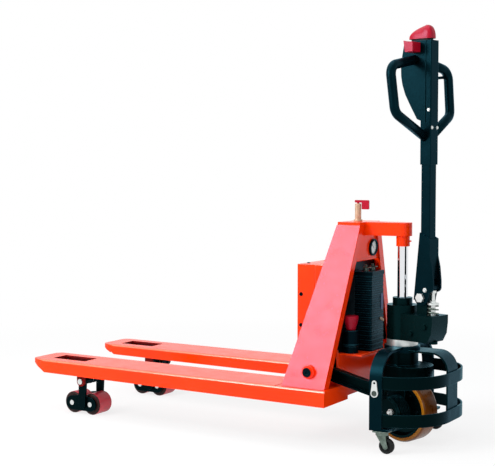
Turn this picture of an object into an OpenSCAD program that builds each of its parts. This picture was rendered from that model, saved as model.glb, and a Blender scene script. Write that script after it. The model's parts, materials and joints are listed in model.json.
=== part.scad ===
// Semi-electric pallet truck, standing raised with its steering turned to one side.
// Millimetres. +X runs from the fork tips to the operator, +Z is up, the floor is z = 0.

/* [Forks] */
// Length of a fork from heel to tip
fork_len = 1150; // [900:10:1220]
// Width over both forks
fork_span = 550; // [530:5:685]
// Width of one fork
fork_w = 160; // [152:1:180]
// Depth of the fork channel
fork_h = 50; // [46:1:58]
// How much shallower the channel is at its nose than at its heel
fork_taper = 6; // [2:0.5:10]
// How much the inner wall is shorter than the outer wall
inner_short = 8; // [2:0.5:12]
// Sheet thickness of the forks
fork_wall = 6; // [4:0.5:8]
// Radius of the bends along the fork top
fork_bend = 8; // [3:0.5:12]
// Width of the blunt nose
nose_w = 110; // [100:1:120]
// Length over which the nose is chamfered from below
nose_run = 60; // [56:1:64]
// Length over which the nose is rounded, seen from above
nose_round = 60; // [54:1:70]
// Height of the nose at its tip
nose_tip_h = 10; // [7:1:14]
// Distance from the tip to the roller slot
slot_from_tip = 62; // [54:1:80]
// Length of the roller slot
slot_len = 142; // [80:1:150]
// Width of the roller slot
slot_w = 72; // [30:1:80]

/* [Lift] */
// Height of the fork tops when lowered
fork_low = 85; // [84:1:95]
// Lifting travel
lift = 98; // [80:1:110]
// Distance from the fork heels to the king pin
heel_to_king = 130; // [126:1:160]
// Diameter of the lift rod
rod_d = 33; // [28:0.5:38]
// Depth of the lift rod in the pump when raised
rod_grip = 96; // [60:1:97]

/* [Load rollers] */
// Diameter of a load roller
roller_d = 74; // [68:1:75]
// Width of a load roller
roller_w = 70; // [50:1:72]
// Distance between the two roller axles of a bogie
roller_pitch = 78; // [77:1:84]
// Diameter of a roller axle
roller_axle_d = 12; // [10:0.5:16]
// Distance from the fork tip to the roller frame's pivot
roller_pivot_back = 206; // [200:1:260]
// Depth of that pivot below the fork
pivot_drop = 16; // [12:1:18]
// Forward lean of the roller frame when raised
link_lean = 3; // [1:0.5:6]
// Distance of the frame's stub pins behind the middle of a bogie
stub_back = 11; // [10:0.5:12]
// Thickness of a roller frame's side link
link_t = 8; // [6:0.5:9]
// Half width of a side link
link_r = 16; // [13:0.5:17]
// Diameter of the pivot pins
pivot_d = 14; // [12:0.5:15]
// Thickness of a bogie plate
bogie_t = 6; // [4:0.5:8]
// Radius of a bogie plate's ends
bogie_r = 24; // [18:0.5:28]

/* [Push rods] */
// Diameter of a push rod
push_d = 12; // [9:0.5:12.5]
// Diameter of the pins at its ends
push_pin_d = 8; // [7:0.5:8]
// Thickness of its front eye
push_eye_t = 12; // [8:0.5:13]

/* [Frame] */
// Distance from a fork's outer side to the foot of its side plate
foot_inset = 20; // [14:1:30]
// Thickness of the side plates
plate_t = 6; // [4:0.5:8]
// Front end of a side plate's foot, ahead of the king pin
foot_front = 286; // [270:1:300]
// Rear end of that foot, ahead of the king pin
foot_rear = 140; // [136:1:150]
// Height of the side plates above the forks
frame_h = 485; // [470:1:520]
// Half the width over the side plates at the top
head_half = 75; // [70:1:85]
// Front corner of a side plate's top, ahead of the king pin
head_front = 191; // [180:1:200]
// Rear corner of that top, ahead of the king pin
head_rear = 111; // [104:1:118]
// Width of the rear flange on a side plate
flange_w = 28; // [16:1:36]
// Thickness of the cap on the side plates
cap_t = 9; // [6:0.5:12]
// Width of the lift arm
arm_w = 70; // [56:1:80]
// Depth of the lift arm
arm_h = 41; // [34:1:46]
// Diameter of the lift arm's round end
arm_end_d = 56; // [52:1:66]
// Diameter of the rod sleeve under the arm
sleeve_d = 42; // [40:1:50]
// Length of the rod sleeve
sleeve_len = 32; // [24:1:40]
// Thickness of the cross plate and its tray
cross_t = 6; // [4:0.5:8]
// Height of the tray above the forks
tray_up = 95; // [92:1:100]

/* [Rocker] */
// Distance from the king pin forward to the rocker's axis
rocker_back = 199; // [190:1:204]
// Height of the rocker's axis above the forks
rocker_up = 47; // [44:1:52]
// Outer diameter of the rocker's cross tube
rocker_d = 34; // [30:1:40]
// Diameter of the rocker pins
rocker_pin_d = 20; // [16:0.5:24]
// Height of a rocker arm
arm_bar_h = 40; // [34:1:44]
// Depth of a rocker arm
arm_bar_w = 25; // [18:1:28]
// Wall of a rocker arm
arm_bar_wall = 5; // [4:0.5:6]
// Length of the short levers that work the push rods
short_arm = 85; // [84:1:88]
// Thickness of those levers
short_arm_t = 12; // [8:0.5:14]

/* [Electrics] */
// Front of the electrics box, ahead of the king pin
box_front = 312; // [300:1:330]
// Rear of the electrics box, ahead of the king pin
box_rear = 222; // [220:1:240]
// Width of the electrics box
box_w = 216; // [180:1:220]
// Height of the electrics box
box_h = 360; // [320:1:370]
// Depth of its front cover
box_cover_l = 62; // [40:1:66]
// Wall of the electrics box
box_wall = 3; // [2:0.5:5]
// Length of the battery case
battery_l = 60; // [50:1:70]
// Width of the battery case
battery_w = 92; // [80:1:110]
// Rear face of the battery case, ahead of the king pin
battery_rear = 75; // [73:1:80]
// Sideways place of the battery case's middle
battery_y = -20; // [-30:1:0]
// Height of one case rib
rib_h = 7; // [4:0.5:9]
// Depth of the case ribs
rib_out = 1; // [0.5:0.5:3]
// Height of the battery lid
lid_h = 13; // [10:1:20]
// Height of the panel that carries the gauge
panel_h = 86; // [80:1:90]
// Diameter of the gauge's bezel
gauge_d = 54; // [44:1:60]
// Sideways place of the gauge
gauge_y = 39; // [0:1:42]
// Diameter of the charging socket
socket_d = 46; // [36:1:50]
// Height of the charging socket
socket_h = 70; // [50:1:80]
// Height of the red plug grip
grip_h = 44; // [36:1:54]
// Height of the key post
key_post_h = 56; // [44:1:60]
// Length of the key's flag
key_l = 49; // [36:1:56]
// Height of the key's flag
key_h = 29; // [22:1:36]

/* [Base] */
// Half the width over the arch's legs
arch_half = 204; // [202:1:215]
// Height of the arch
arch_top = 298; // [292:1:302]
// Outer radius of the arch's bends
arch_bend = 85; // [60:1:100]
// Width of the arch's strap
strap_w = 40; // [34:1:46]
// Thickness of the arch's strap
strap_t = 8; // [6:0.5:10]
// Height of the legs' ends above the floor
leg_end = 73; // [70:1:80]
// Bottom of the upper guard hoop
hoop_high = 192; // [184:1:200]
// Bottom of the lower guard hoop
hoop_low = 80; // [72:1:90]
// Height of a guard hoop's band
hoop_h = 38; // [34:1:46]
// Thickness of a guard hoop's band
hoop_t = 5; // [3:0.5:7]
// Rear reach of the guard hoops behind the king pin
hoop_rear = 172; // [168:1:190]
// Width of the rear strap
rear_w = 80; // [60:1:100]
// Thickness of the rear strap
rear_t = 6; // [4:0.5:8]
// Diameter of the bearing hub
hub_d = 110; // [100:1:116]
// Diameter of the bearing ring
ring_d = 97; // [90:1:100]
// Height of the bearing ring
ring_h = 20; // [14:1:24]

/* [Drive] */
// Resting steering angle
rest_steer = -13; // [-20:1:20]
// Diameter of the drive wheel
wheel_d = 196; // [186:1:200]
// Width of the drive wheel
wheel_w = 72; // [60:1:78]
// Distance of the wheel behind the king pin
wheel_trail = 16; // [8:1:20]
// Thickness of the drive tyre
tyre_t = 14; // [10:1:20]
// Diameter of the drive axle
axle_d = 25; // [20:0.5:30]
// Thickness of the yoke's cheeks
cheek_t = 8; // [6:0.5:10]
// Diameter of the drive motor
motor_d = 112; // [96:1:116]
// Length of the drive motor
motor_l = 54; // [40:1:56]

/* [Pump] */
// Diameter of the king tube
king_d = 56; // [50:1:60]
// Diameter of the pump cylinder
pump_d = 96; // [88:1:100]
// Height of the pump cylinder's shoulder
pump_shoulder = 424; // [418:1:430]
// Height of the pump's top
pump_top = 446; // [440:1:452]
// Rear end of the plunger block behind the king pin
block_end = 140; // [138:1:146]
// Half the width of the plunger block
block_half = 42; // [36:1:46]
// Height of the plunger block's top
block_top = 400; // [396:1:404]
// Distance of the plunger behind the king pin
plunger_x = 114; // [112:1:116]
// Height of the plunger's head
plunger_head = 475; // [470:1:480]
// Diameter of the plunger
plunger_d = 16; // [12:0.5:18]
// Diameter of the plunger's spring cap
plunger_cap_d = 36; // [34:1:37]
// Wire of the plunger spring
spring_wire = 4.4; // [3:0.1:5]
// Coils of the plunger spring
spring_turns = 7; // [5:1:8]

/* [Tiller] */
// Distance of the tiller's pivot behind the king pin
tiller_pivot_x = 85; // [83:1:87]
// Height of the tiller's pivot
tiller_pivot_z = 452; // [448:1:456]
// Swing of the tiller from upright
tiller_swing = 55; // [40:1:58]
// Diameter of the tiller's pivot bolt
tiller_pin_d = 18; // [14:0.5:20]
// Distance of the tiller column behind the king pin
column_x = 94; // [92:1:98]
// Side of the square column
column_w = 33; // [30:1:34]
// Side of the square upper sleeve
sleeve_w = 39; // [38:1:42]
// Wall of the column and the sleeve
tube_wall = 3; // [2:0.5:4]
// Lower end of the upper sleeve
sleeve_low = 855; // [820:1:880]
// Top of the upper sleeve
sleeve_top = 1227; // [1200:1:1260]
// Diameter of the handle tube
handle_d = 29; // [24:1:32]
// Half the width of the handle loop at the top
handle_half = 148; // [130:1:160]
// Bend radius of the handle loop
handle_bend = 34; // [26:1:40]
// Half the width of the control head
head_w = 22; // [21:1:26]
// Height of the belly button's dome
belly_h = 42; // [36:1:50]

/* [Casters] */
// Diameter of a caster wheel
caster_d = 46; // [40:1:48]
// Width of a caster wheel
caster_w = 18; // [12:1:22]
// Trail of a caster wheel
caster_trail = 16; // [14:1:20]

/* [Clearances] */
// Radial clearance of a running fit
fit = 0.05; // [0.02:0.01:0.1]
// Side clearance between moving pieces
side_gap = 0.5; // [0.3:0.1:0.8]

/* [Hidden] */
$fn = 48;

// Paint and metal colours
orange = "orangered";
black = "#16181c";
zinc = "lightgray";
red = "crimson";
amber = "goldenrod";

// Cutters reach this far past the faces that they open
over = 1;

// Fork stations, measured from the king pin
fork_top = fork_low + lift;
fork_under = fork_top - fork_h;
fork_y = (fork_span - fork_w) / 2;
tip_x = -heel_to_king - fork_len;
nose_solid = slot_from_tip - 25;
heel_drop = 1;
channel_half = fork_w / 2 - fork_wall;

// The origin lies under the middle of the whole length
king_x = (heel_to_king + fork_len - hoop_rear) / 2;

// Load roller linkage, as two bars that swing from raised to lowered
roller_r = roller_d / 2;
pivot_x = tip_x + roller_pivot_back;
pivot_z = fork_under - pivot_drop;
link_fall = pivot_z - roller_r;
link_len = norm([link_lean, link_fall]);
link_rise = roller_r - (pivot_z - lift);
frame_rest = atan2(link_lean, link_fall);
frame_swing = 90 + asin(link_rise / link_len) - frame_rest;
bogie_x = pivot_x - link_lean - stub_back;
bogie_y = roller_w / 2 + 2 + bogie_t / 2;
link_y = bogie_y + bogie_t / 2 + side_gap + link_t / 2;
lug_t = 8;
lug_y = link_y + link_t / 2 + side_gap + lug_t / 2;
lug_r = 16;
pin_head = 5;
stub_d = 16;
ear_t = 6;
push_half = max(push_eye_t, push_d) / 2 + side_gap;
ear_y = push_half + ear_t / 2;
lever_half = frame_swing / 2;

// Rocker, which swings evenly above and below its axis
rocker_x = -rocker_back;
rocker_z = fork_top + rocker_up;
leg_x = 4;
leg_in = arch_half - strap_t;
leg_pin_z = rocker_z - lift / 2;
rocker_reach = leg_x - rocker_x;
rocker_rest = atan2(lift / 2, rocker_reach);
rocker_far = norm([rocker_reach, lift / 2]);
bar_out = leg_in - hoop_t - 1.4;
bar_in = bar_out - arm_bar_w;
lever_r = short_arm * sin(rocker_rest) / sin(lever_half);
lever_x = pivot_x - lever_r * sin(lever_half);
lever_z = pivot_z + lever_r * cos(lever_half);
push_x = rocker_x - short_arm * sin(rocker_rest);
push_z = rocker_z - short_arm * cos(rocker_rest);
push_len = norm([push_x - lever_x, push_z - lever_z]);
push_tilt = atan2(push_z - lever_z, push_x - lever_x);
eye_rise = lever_r * (1 - cos(lever_half)) + short_arm * (1 - cos(rocker_rest));
eye_play = 1.4;

// Leaning side plates
plate_foot = fork_span / 2 - foot_inset;
frame_top = fork_top + frame_h;
plate_lean = atan2(plate_foot - head_half, frame_h);
plate_len = norm([plate_foot - head_half, frame_h]);
function plate_y(z) = plate_foot - (z - fork_top) * tan(plate_lean);
function inner_y(z) = plate_y(z) - plate_t / cos(plate_lean);
function rear_x(z) = -foot_rear + (z - fork_top) * (foot_rear - head_rear) / frame_h;
rear_rake = atan2(foot_rear - head_rear, frame_h);
boss_out = plate_y(rocker_z) + 12;
boss_in = inner_y(rocker_z) - 6;
boss_d = 40;
rocker_half = boss_in - side_gap;
cap_top = frame_top + cap_t;
arm_low = cap_top - arm_h;
sleeve_low_z = arm_low - sleeve_len;
cross_x = -foot_rear - cross_t - 2;
cross_half = bar_in - 5;
tray_top = fork_top + tray_up;
tray_end = -battery_rear + 3;
tray_half = 140;

// Base
hoop_span = arch_half - strap_t / 2;
leg_rear = leg_x + strap_w / 2;
hoop_flat = rear_w / 2;
hoop_depth = hoop_rear - leg_rear;
hoop_r = (pow(hoop_depth, 2) + pow(hoop_span - hoop_flat, 2)) / (2 * hoop_depth);
hoop_cx = hoop_rear - hoop_r;
hub_low = arch_top - 18;
ring_top = arch_top + ring_h;
rear_top = arch_top - 10;
rear_x_out = hoop_rear - hoop_t;
rear_bend = 55;
foot_t = 6;
caster_x = leg_x + 16;
caster_y = 190;
caster_plate_t = 4;
caster_plate_l = 46;
caster_plate_w = 38;
caster_top = leg_end - foot_t - caster_plate_t;
caster_pin_d = 10;
race_h = 8;

// Steered unit
wheel_r = wheel_d / 2;
cheek_in = wheel_w / 2 + 8;
cheek_out = cheek_in + cheek_t;
yoke_top = 240;
turntable_d = 138;
turntable_back = 33;
neck_d = 100;
motor_cap = 6;
yoke_low = wheel_d + 5;
pump_low = ring_top + 0.3;
rod_low = pump_top - rod_grip;
bore_low = rod_low - lift - 4;
ear_half = column_w / 2 - side_gap;
ear_r = 20;
plunger_cap_z = plunger_head - 44;
plunger_cap_t = 6;
pusher_r = 9;
pusher_x = plunger_x;
pusher_z = plunger_head + pusher_r + 0.3;
pusher_arm = norm([pusher_x - tiller_pivot_x, pusher_z - tiller_pivot_z]);
pusher_up = atan2(pusher_z - tiller_pivot_z, pusher_x - tiller_pivot_x);
plunger_stroke = pusher_arm * (sin(pusher_up) - sin(pusher_up - tiller_swing));
guide_d = plunger_d + 8;
guide_top = plunger_cap_z - plunger_stroke - 2;
plunger_low = guide_top - 18;
well_low = 346;
well_d = plunger_cap_d + 4;
spring_r = (guide_d + spring_wire) / 2 + 1.5;
spring_low = well_low + 0.3;
spring_high = plunger_cap_z - 0.3;

// Tiller
cheek_plate = 6;
cheek_face = column_w / 2;
column_low = 510;
column_high = sleeve_low + 60;
head_front_x = 3;
lever_axis_x = 58;
lever_axis_z = sleeve_top - 21;
lever_shaft_d = 10;
belly_gap = 6;

module truck() {
    translate([king_x, 0, 0]) children();
}

module steered() {
    translate([king_x, 0, 0]) rotate([0, 0, rest_steer]) children();
}

// A shaft along Y about the middle of its length
module cross_bar(d, len) {
    rotate([90, 0, 0]) cylinder(d = d, h = len, center = true);
}

// An outline drawn in X and Z, given a thickness along Y about its middle
module slab_xz(t) {
    rotate([90, 0, 0]) linear_extrude(t, center = true) children();
}

// An outline drawn in Y and Z, given a thickness along +X
module slab_yz(t) {
    rotate([90, 0, 90]) linear_extrude(t) children();
}

// A rectangle standing on y = 0 with its two upper corners rounded
module arched_rect(w, h, r) {
    translate([-w / 2, 0]) square([w, h - r]);
    translate([-w / 2 + r, 0]) square([w - 2 * r, h]);
    for (x = [-w / 2 + r, w / 2 - r]) translate([x, h - r]) circle(r);
}

// A rectangle about the origin with four round corners
module round_rect(w, h, r) {
    square([w, h - 2 * r], center = true);
    square([w - 2 * r, h], center = true);
    for (x = [-1, 1], y = [-1, 1]) translate([x * (w / 2 - r), y * (h / 2 - r)]) circle(r);
}

// A strap with round ends, from the origin along +X
module strap_2d(len, r) {
    translate([0, -r]) square([len, 2 * r]);
    for (x = [0, len]) translate([x, 0]) circle(r);
}

// A strap that tapers from one round end to another, along +X, its flanks just inside their widest lines
module taper_2d(len, r0, r1) {
    flank = 0.97;
    polygon([[0, -flank * r0], [len, -flank * r1], [len, flank * r1], [0, flank * r0]]);
    circle(r0);
    translate([len, 0]) circle(r1);
}

// Points of a polyline with its inner corners rounded to one bend radius
function unit(v) = v / norm(v);
function bend_points(a, b, c, r, n) =
    let (u = unit(a - b), v = unit(c - b), half = acos(u * v) / 2)
    let (d = r / tan(half), mid = b + unit(u + v) * r / sin(half))
    let (p = b + u * d, e = unit(p - mid), w = unit(cross(cross(e, u), e)), turn = 180 - 2 * half)
    [for (i = [0:n]) mid + r * (cos(turn * i / n) * e - sin(turn * i / n) * w)];
function bent_path(pts, r, n) = concat(
    [pts[0]],
    [for (i = [1:len(pts) - 2]) each bend_points(pts[i - 1], pts[i], pts[i + 1], r, n)],
    [pts[len(pts) - 1]]
);

// A solid tube along a path, as rings of triangles
function path_dir(path, i) = unit(path[min(i + 1, len(path) - 1)] - path[max(i - 1, 0)]);
module tube_along(path, r, sides, ref) {
    n = len(path);
    rings = [
        for (i = [0:n - 1])
            let (t = path_dir(path, i), u = unit(ref - (ref * t) * t), v = cross(t, u))
            for (k = [0:sides - 1])
                path[i] + r * (cos(360 * k / sides) * u + sin(360 * k / sides) * v)
    ];
    sides_faces = [
        for (i = [0:n - 2], k = [0:sides - 1])
            let (a = i * sides + k, b = i * sides + (k + 1) % sides)
            each [[a, a + sides, b], [b, a + sides, b + sides]]
    ];
    first_cap = [for (k = [1:sides - 2]) [0, k, k + 1]];
    base = (n - 1) * sides;
    last_cap = [for (k = [1:sides - 2]) [base, base + k + 1, base + k]];
    polyhedron(rings, concat(sides_faces, first_cap, last_cap));
}

// Half the width of the nose at a share of its rounding
function nose_half(share) = nose_w / 2 + share * (fork_w - nose_w) / 2;

// The fork top is milled down a little behind the load, where the side plates stand
heel_len = foot_front + 16 - heel_to_king;

module fork(side) {
    color(orange) truck() translate([tip_x, side * fork_y, 0]) difference() {
        union() {
            difference() {
                intersection() {
                    translate([0, 0, fork_under])
                        slab_yz(fork_len) arched_rect(fork_w, fork_h, fork_bend);
                    slab_xz(fork_w + 2 * over) polygon([
                        [0, fork_top - nose_tip_h], [nose_run, fork_under + fork_taper],
                        [fork_len - heel_len, fork_under], [fork_len, fork_under],
                        [fork_len, fork_top], [0, fork_top]
                    ]);
                    linear_extrude(fork_top + over) for (s = [-1, 1]) polygon([
                        [0, 0], [0, s * nose_w / 2], [0.15 * nose_round, s * nose_half(0.52)],
                        [0.45 * nose_round, s * nose_half(0.83)], [nose_round, s * fork_w / 2],
                        [fork_len, s * fork_w / 2], [fork_len, 0]
                    ]);
                }
                translate([nose_solid, -channel_half, fork_under - over])
                    cube([
                        fork_len - nose_solid - fork_wall, 2 * channel_half, fork_h - fork_wall + over
                    ]);
                translate([slot_from_tip, -slot_w / 2, fork_top - fork_wall - over])
                    cube([slot_len, slot_w, fork_wall + 2 * over]);
                translate([0, -side * (fork_w - fork_wall) / 2, 0]) slab_xz(fork_wall + 2 * over) polygon([
                    [-over, fork_under - over], [fork_len - heel_len, fork_under - over],
                    [fork_len - heel_len, fork_under + inner_short],
                    [nose_run, fork_under + fork_taper + inner_short],
                    [-over, fork_top - nose_tip_h + inner_short]
                ]);
                short_arm_opening();
                translate([fork_len - heel_len, -fork_w / 2 - over, fork_top - heel_drop])
                    cube([heel_len + over, fork_w + 2 * over, heel_drop + over]);
            }
            for (y = [-lug_y, lug_y]) translate([roller_pivot_back, y, pivot_z]) slab_xz(lug_t) {
                circle(lug_r);
                translate([-lug_r, 0]) square([2 * lug_r, fork_top - fork_wall - pivot_z]);
            }
        }
        translate([roller_pivot_back, 0, pivot_z]) cross_bar(pivot_d + 2 * fit, fork_w);
    }
}

// Opening in the fork top for the rocker's short lever, in the fork's own place
module short_arm_opening() {
    reach = rocker_up * tan(rocker_rest) + short_arm_t + 6;
    translate([rocker_x - tip_x - reach, -short_arm_t / 2 - 2, fork_top - fork_wall - over])
        cube([2 * reach, short_arm_t + 4, fork_wall + 2 * over]);
}

module bridge() {
    half = fork_y - fork_w / 2;
    front = -foot_front - 14;
    color(orange) truck() difference() {
        translate([front, -half, fork_under + 6]) cube([cross_x - front, 2 * half, fork_h - 6]);
        translate([front + fork_wall, -half - over, fork_under + 6 - over])
            cube([cross_x - front - 2 * fork_wall, 2 * half + 2 * over, fork_h - 6 - fork_wall + over]);
    }
}

// Upright plate across the frame with rounded shoulders, and the tray bent back from it
module cross_plate() {
    low_half = fork_y - fork_w / 2;
    shoulder = 18;
    color(orange) truck() {
        translate([cross_x, 0, 0]) slab_yz(cross_t) difference() {
            union() {
                translate([-low_half, fork_under + 6]) square([2 * low_half, fork_h]);
                translate([-cross_half, fork_top - heel_drop])
                    square([2 * cross_half, heel_drop + tray_up - cross_t + shoulder]);
            }
            translate([-cross_half + shoulder, tray_top - cross_t])
                square([2 * (cross_half - shoulder), shoulder + over]);
            for (s = [-1, 1])
                translate([s * (cross_half - shoulder), tray_top - cross_t + shoulder]) circle(shoulder - 2);
        }
        translate([-box_rear, -tray_half, tray_top - cross_t])
            cube([tray_end + box_rear, 2 * tray_half, cross_t]);
    }
}

// One side plate stands on its fork, leans inward and has a flange turned in along its rear edge
module side_plate(side) {
    outline = [[-foot_front, 0], [-foot_rear, 0], [-head_rear, plate_len], [-head_front, plate_len]];
    flange = [
        [-foot_rear - plate_t, 0], [-foot_rear, 0],
        [-head_rear, plate_len], [-head_rear - plate_t, plate_len]
    ];
    mirror([0, side > 0 ? 1 : 0, 0]) difference() {
        union() {
            intersection() {
                translate([0, -plate_foot, fork_top]) rotate([90 - plate_lean, 0, 0])
                    translate([0, 0, -plate_t]) {
                        linear_extrude(plate_t) side_outline(outline);
                        translate([0, 0, plate_t - flange_w])
                            linear_extrude(flange_w) side_outline(flange);
                    }
                translate([-foot_front - over, -fork_span, fork_top - heel_drop])
                    cube([foot_front, 2 * fork_span, frame_h + heel_drop]);
            }
            translate([rocker_x, -(boss_out + boss_in) / 2, rocker_z])
                cross_bar(boss_d, boss_out - boss_in);
        }
        translate([rocker_x, -boss_out, rocker_z]) cross_bar(rocker_pin_d + 2 * fit, 4 * boss_d);
    }
}

// Stretches an outline a little at both ends, so that it can be cut level with the floor
module side_outline(pts) {
    spare = 60;
    lower = (pts[0] - pts[3]) * spare / plate_len;
    lower_rear = (pts[1] - pts[2]) * spare / plate_len;
    polygon([pts[0] + lower, pts[1] + lower_rear, pts[2] - lower_rear, pts[3] - lower]);
}

module side_plates() {
    color(orange) truck() for (side = [-1, 1]) side_plate(side);
}

module lift_arm() {
    edge = 8;
    color(orange) truck() difference() {
        union() {
            translate([-(head_front + head_rear) / 2, 0, frame_top])
                linear_extrude(cap_t) round_rect(head_front - head_rear, 2 * head_half, edge);
            translate([0, 0, arm_low]) linear_extrude(arm_h) {
                translate([-head_front + edge, -arm_w / 2]) square([head_rear - edge, arm_w]);
                polygon([
                    [-head_front + head_rear, -arm_w / 2], [0, -arm_end_d / 2],
                    [0, arm_end_d / 2], [-head_front + head_rear, arm_w / 2]
                ]);
                circle(d = arm_end_d);
            }
            translate([0, 0, sleeve_low_z]) cylinder(d = sleeve_d, h = sleeve_len);
            translate([sleeve_d / 2 - 2, 0, arm_low - sleeve_len / 2]) rotate([0, 90, 0])
                cylinder(d = 5, h = 8);
        }
        translate([0, 0, sleeve_low_z - over]) cylinder(d = rod_d + 2 * fit, h = sleeve_len + over);
    }
}

module lift_rod() {
    color("silver") truck() translate([0, 0, rod_low]) cylinder(d = rod_d, h = arm_low - rod_low);
}

// Sheet between the side plates, in the plane of their rear edges
panel_high = arm_low + 6;
panel_low = panel_high - panel_h;
panel_t = 4;
bezel_w = 6;

module rear_plane(z) {
    translate([rear_x(z) - plate_t, 0, z]) rotate([0, rear_rake, 0]) children();
}

module gauge_panel() {
    slack = 1;
    tall = (panel_high - panel_low) / cos(rear_rake);
    color(orange) truck() difference() {
        rear_plane(panel_low) translate([-panel_t - 0.3, 0, 0]) slab_yz(panel_t) polygon([
            [-inner_y(panel_low) + slack, 0], [inner_y(panel_low) - slack, 0],
            [inner_y(panel_high) - slack, tall], [-inner_y(panel_high) + slack, tall]
        ]);
        gauge_seat() translate([0, 0, -2 * panel_t]) cylinder(d = gauge_d - 8, h = 4 * panel_t);
        translate([-head_front, -arm_w / 2 - slack, arm_low - slack])
            cube([head_front, arm_w + 2 * slack, arm_h]);
    }
}

// Places a piece on the panel's rear face with its own +Z pointing to the operator
module gauge_seat() {
    gauge_z = (panel_low + arm_low) / 2 - 2;
    rear_plane(gauge_z) translate([-0.3, gauge_y, 0]) rotate([0, 90, 0]) children();
}

module gauge_bezel() {
    color(black) truck() gauge_seat() rotate_extrude() {
        translate([gauge_d / 2 - bezel_w, 0]) square([bezel_w, 6]);
        translate([gauge_d / 2 - bezel_w / 2, 6]) circle(bezel_w / 3);
    }
}

module gauge_face() {
    color("lightcyan") truck() gauge_seat() translate([0, 0, -panel_t])
        cylinder(d = gauge_d - 2 * bezel_w, h = panel_t + 3);
}

module box_shell(front, rear) {
    translate([-front, -box_w / 2, fork_top]) cube([front - rear, box_w, box_h]);
}

module box_body() {
    split = box_front - box_cover_l;
    color(orange) truck() difference() {
        box_shell(split, box_rear);
        translate([-split - over, -box_w / 2 + box_wall, fork_top + box_wall])
            cube([split - box_rear - box_wall + over, box_w - 2 * box_wall, box_h - 2 * box_wall]);
    }
}

module box_cover() {
    split = box_front - box_cover_l;
    seam = 0.8;
    color(orange) truck() {
        difference() {
            box_shell(box_front, split + seam);
            translate([-box_front + box_wall, -box_w / 2 + box_wall, fork_top + box_wall])
                cube([box_cover_l, box_w - 2 * box_wall, box_h - 2 * box_wall]);
        }
        difference() {
            translate([-box_front + box_wall, -box_w / 2 + box_wall, fork_top + box_wall])
                cube([box_cover_l - box_wall, box_w - 2 * box_wall, box_h - 2 * box_wall]);
            translate([-box_front, -box_w / 2 + 2 * box_wall, fork_top + 2 * box_wall])
                cube([box_cover_l + over, box_w - 4 * box_wall, box_h - 4 * box_wall]);
        }
    }
}

battery_clear = 31;
battery_h = panel_low - battery_clear - tray_top;
battery_x = -battery_rear - battery_l / 2;
case_h = battery_h - lid_h;

module battery_case() {
    ribs = floor((case_h - rib_h) / (2 * rib_h));
    color(black) truck() translate([battery_x, battery_y, tray_top]) {
        linear_extrude(case_h) round_rect(battery_l - 2 * rib_out, battery_w - 2 * rib_out, 4);
        for (i = [0:ribs]) translate([0, 0, 2 * rib_h * i])
            linear_extrude(rib_h) round_rect(battery_l, battery_w, 5);
        translate([0, 0, case_h]) linear_extrude(lid_h) round_rect(battery_l + 4, battery_w + 4, 6);
    }
}

module battery_terminals() {
    color(zinc) truck() translate([battery_x, battery_y, tray_top + battery_h])
        for (y = [-battery_w / 4, battery_w / 4]) translate([0, y, 0]) {
            cylinder(d = 16, h = 10);
            translate([-9, -7, 10]) cube([24, 14, 3]);
            translate([0, 0, 13]) cylinder(d = 11, h = 7, $fn = 6);
        }
}

plug_x = -121;
plug_y = -114;

module plug_socket() {
    color(black) truck() translate([plug_x, plug_y, tray_top]) {
        cylinder(d = socket_d, h = socket_h);
        translate([0, 0, socket_h * 0.3]) cylinder(d = socket_d + 4, h = 6);
    }
}

module plug_grip() {
    rim = 10;
    color(red) truck() translate([plug_x, plug_y, tray_top + socket_h]) {
        cylinder(d1 = socket_d * 0.6, d2 = socket_d, h = grip_h - rim);
        translate([0, 0, grip_h - rim]) cylinder(d = socket_d, h = rim);
    }
}

// Black sheet that stands on the tray and closes the frame between the side plates
cover_t = 3;
cover_top = panel_low - 6;
cover_x = min(plug_x - socket_d / 2, battery_x - battery_l / 2, -foot_rear - plate_t) - 3 - cover_t;

module inner_cover() {
    slack = 0.6;
    low = inner_y(tray_top) - slack;
    high = inner_y(cover_top) - slack;
    color(black) truck() translate([cover_x, 0, 0]) slab_yz(cover_t)
        polygon([[-low, tray_top], [low, tray_top], [high, cover_top], [-high, cover_top]]);
}

key_x = -154;
key_shank_d = 8;
key_post_d = 20;

module key_barrel() {
    color("tan") truck() translate([key_x, 0, cap_top]) difference() {
        union() {
            cylinder(d = key_post_d + 8, h = 6);
            cylinder(d = key_post_d, h = key_post_h);
        }
        translate([0, 0, key_post_h / 2]) cylinder(d = key_shank_d + 2 * fit, h = key_post_h);
    }
}

// Shank, a bar over the post and a flag that hangs beside the post
module key() {
    flag_t = 5;
    bar_low = key_post_h + 3;
    bar_h = 8;
    back = 11;
    color(red) truck() translate([key_x, 0, cap_top]) {
        translate([0, 0, key_post_h / 2 + side_gap])
            cylinder(d = key_shank_d, h = key_post_h / 2 + 4);
        slab_xz(flag_t) {
            translate([key_l / 2 - back, bar_low + bar_h / 2]) round_rect(key_l, bar_h, 3);
            translate([(key_l - back + key_post_d / 2 + 3) / 2, bar_low + bar_h - key_h / 2])
                round_rect(key_l - back - key_post_d / 2 - 3, key_h, 3);
        }
    }
}

module rocker_pins() {
    color(black) truck() for (side = [-1, 1]) translate([rocker_x, 0, rocker_z])
        mirror([0, side < 0 ? 0 : 1, 0]) {
            difference() {
                translate([0, -boss_out - 3, 0]) cross_bar(boss_d - 10, 6);
                translate([0, -boss_out - 6, 0]) rotate([90, 0, 0])
                    cylinder(d = 14, h = 8, center = true, $fn = 6);
            }
            translate([0, -boss_out + 30, 0]) cross_bar(rocker_pin_d, 60);
        }
}

module roller_pivots() {
    outer = lug_y + lug_t / 2;
    color(zinc) truck() for (side = [-1, 1]) translate([pivot_x, side * fork_y, pivot_z]) {
        cross_bar(pivot_d, 2 * outer + 2 * pin_head);
        for (y = [-1, 1]) translate([0, y * (outer + pin_head / 2), 0]) cross_bar(pivot_d + 5, pin_head);
    }
}

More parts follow.
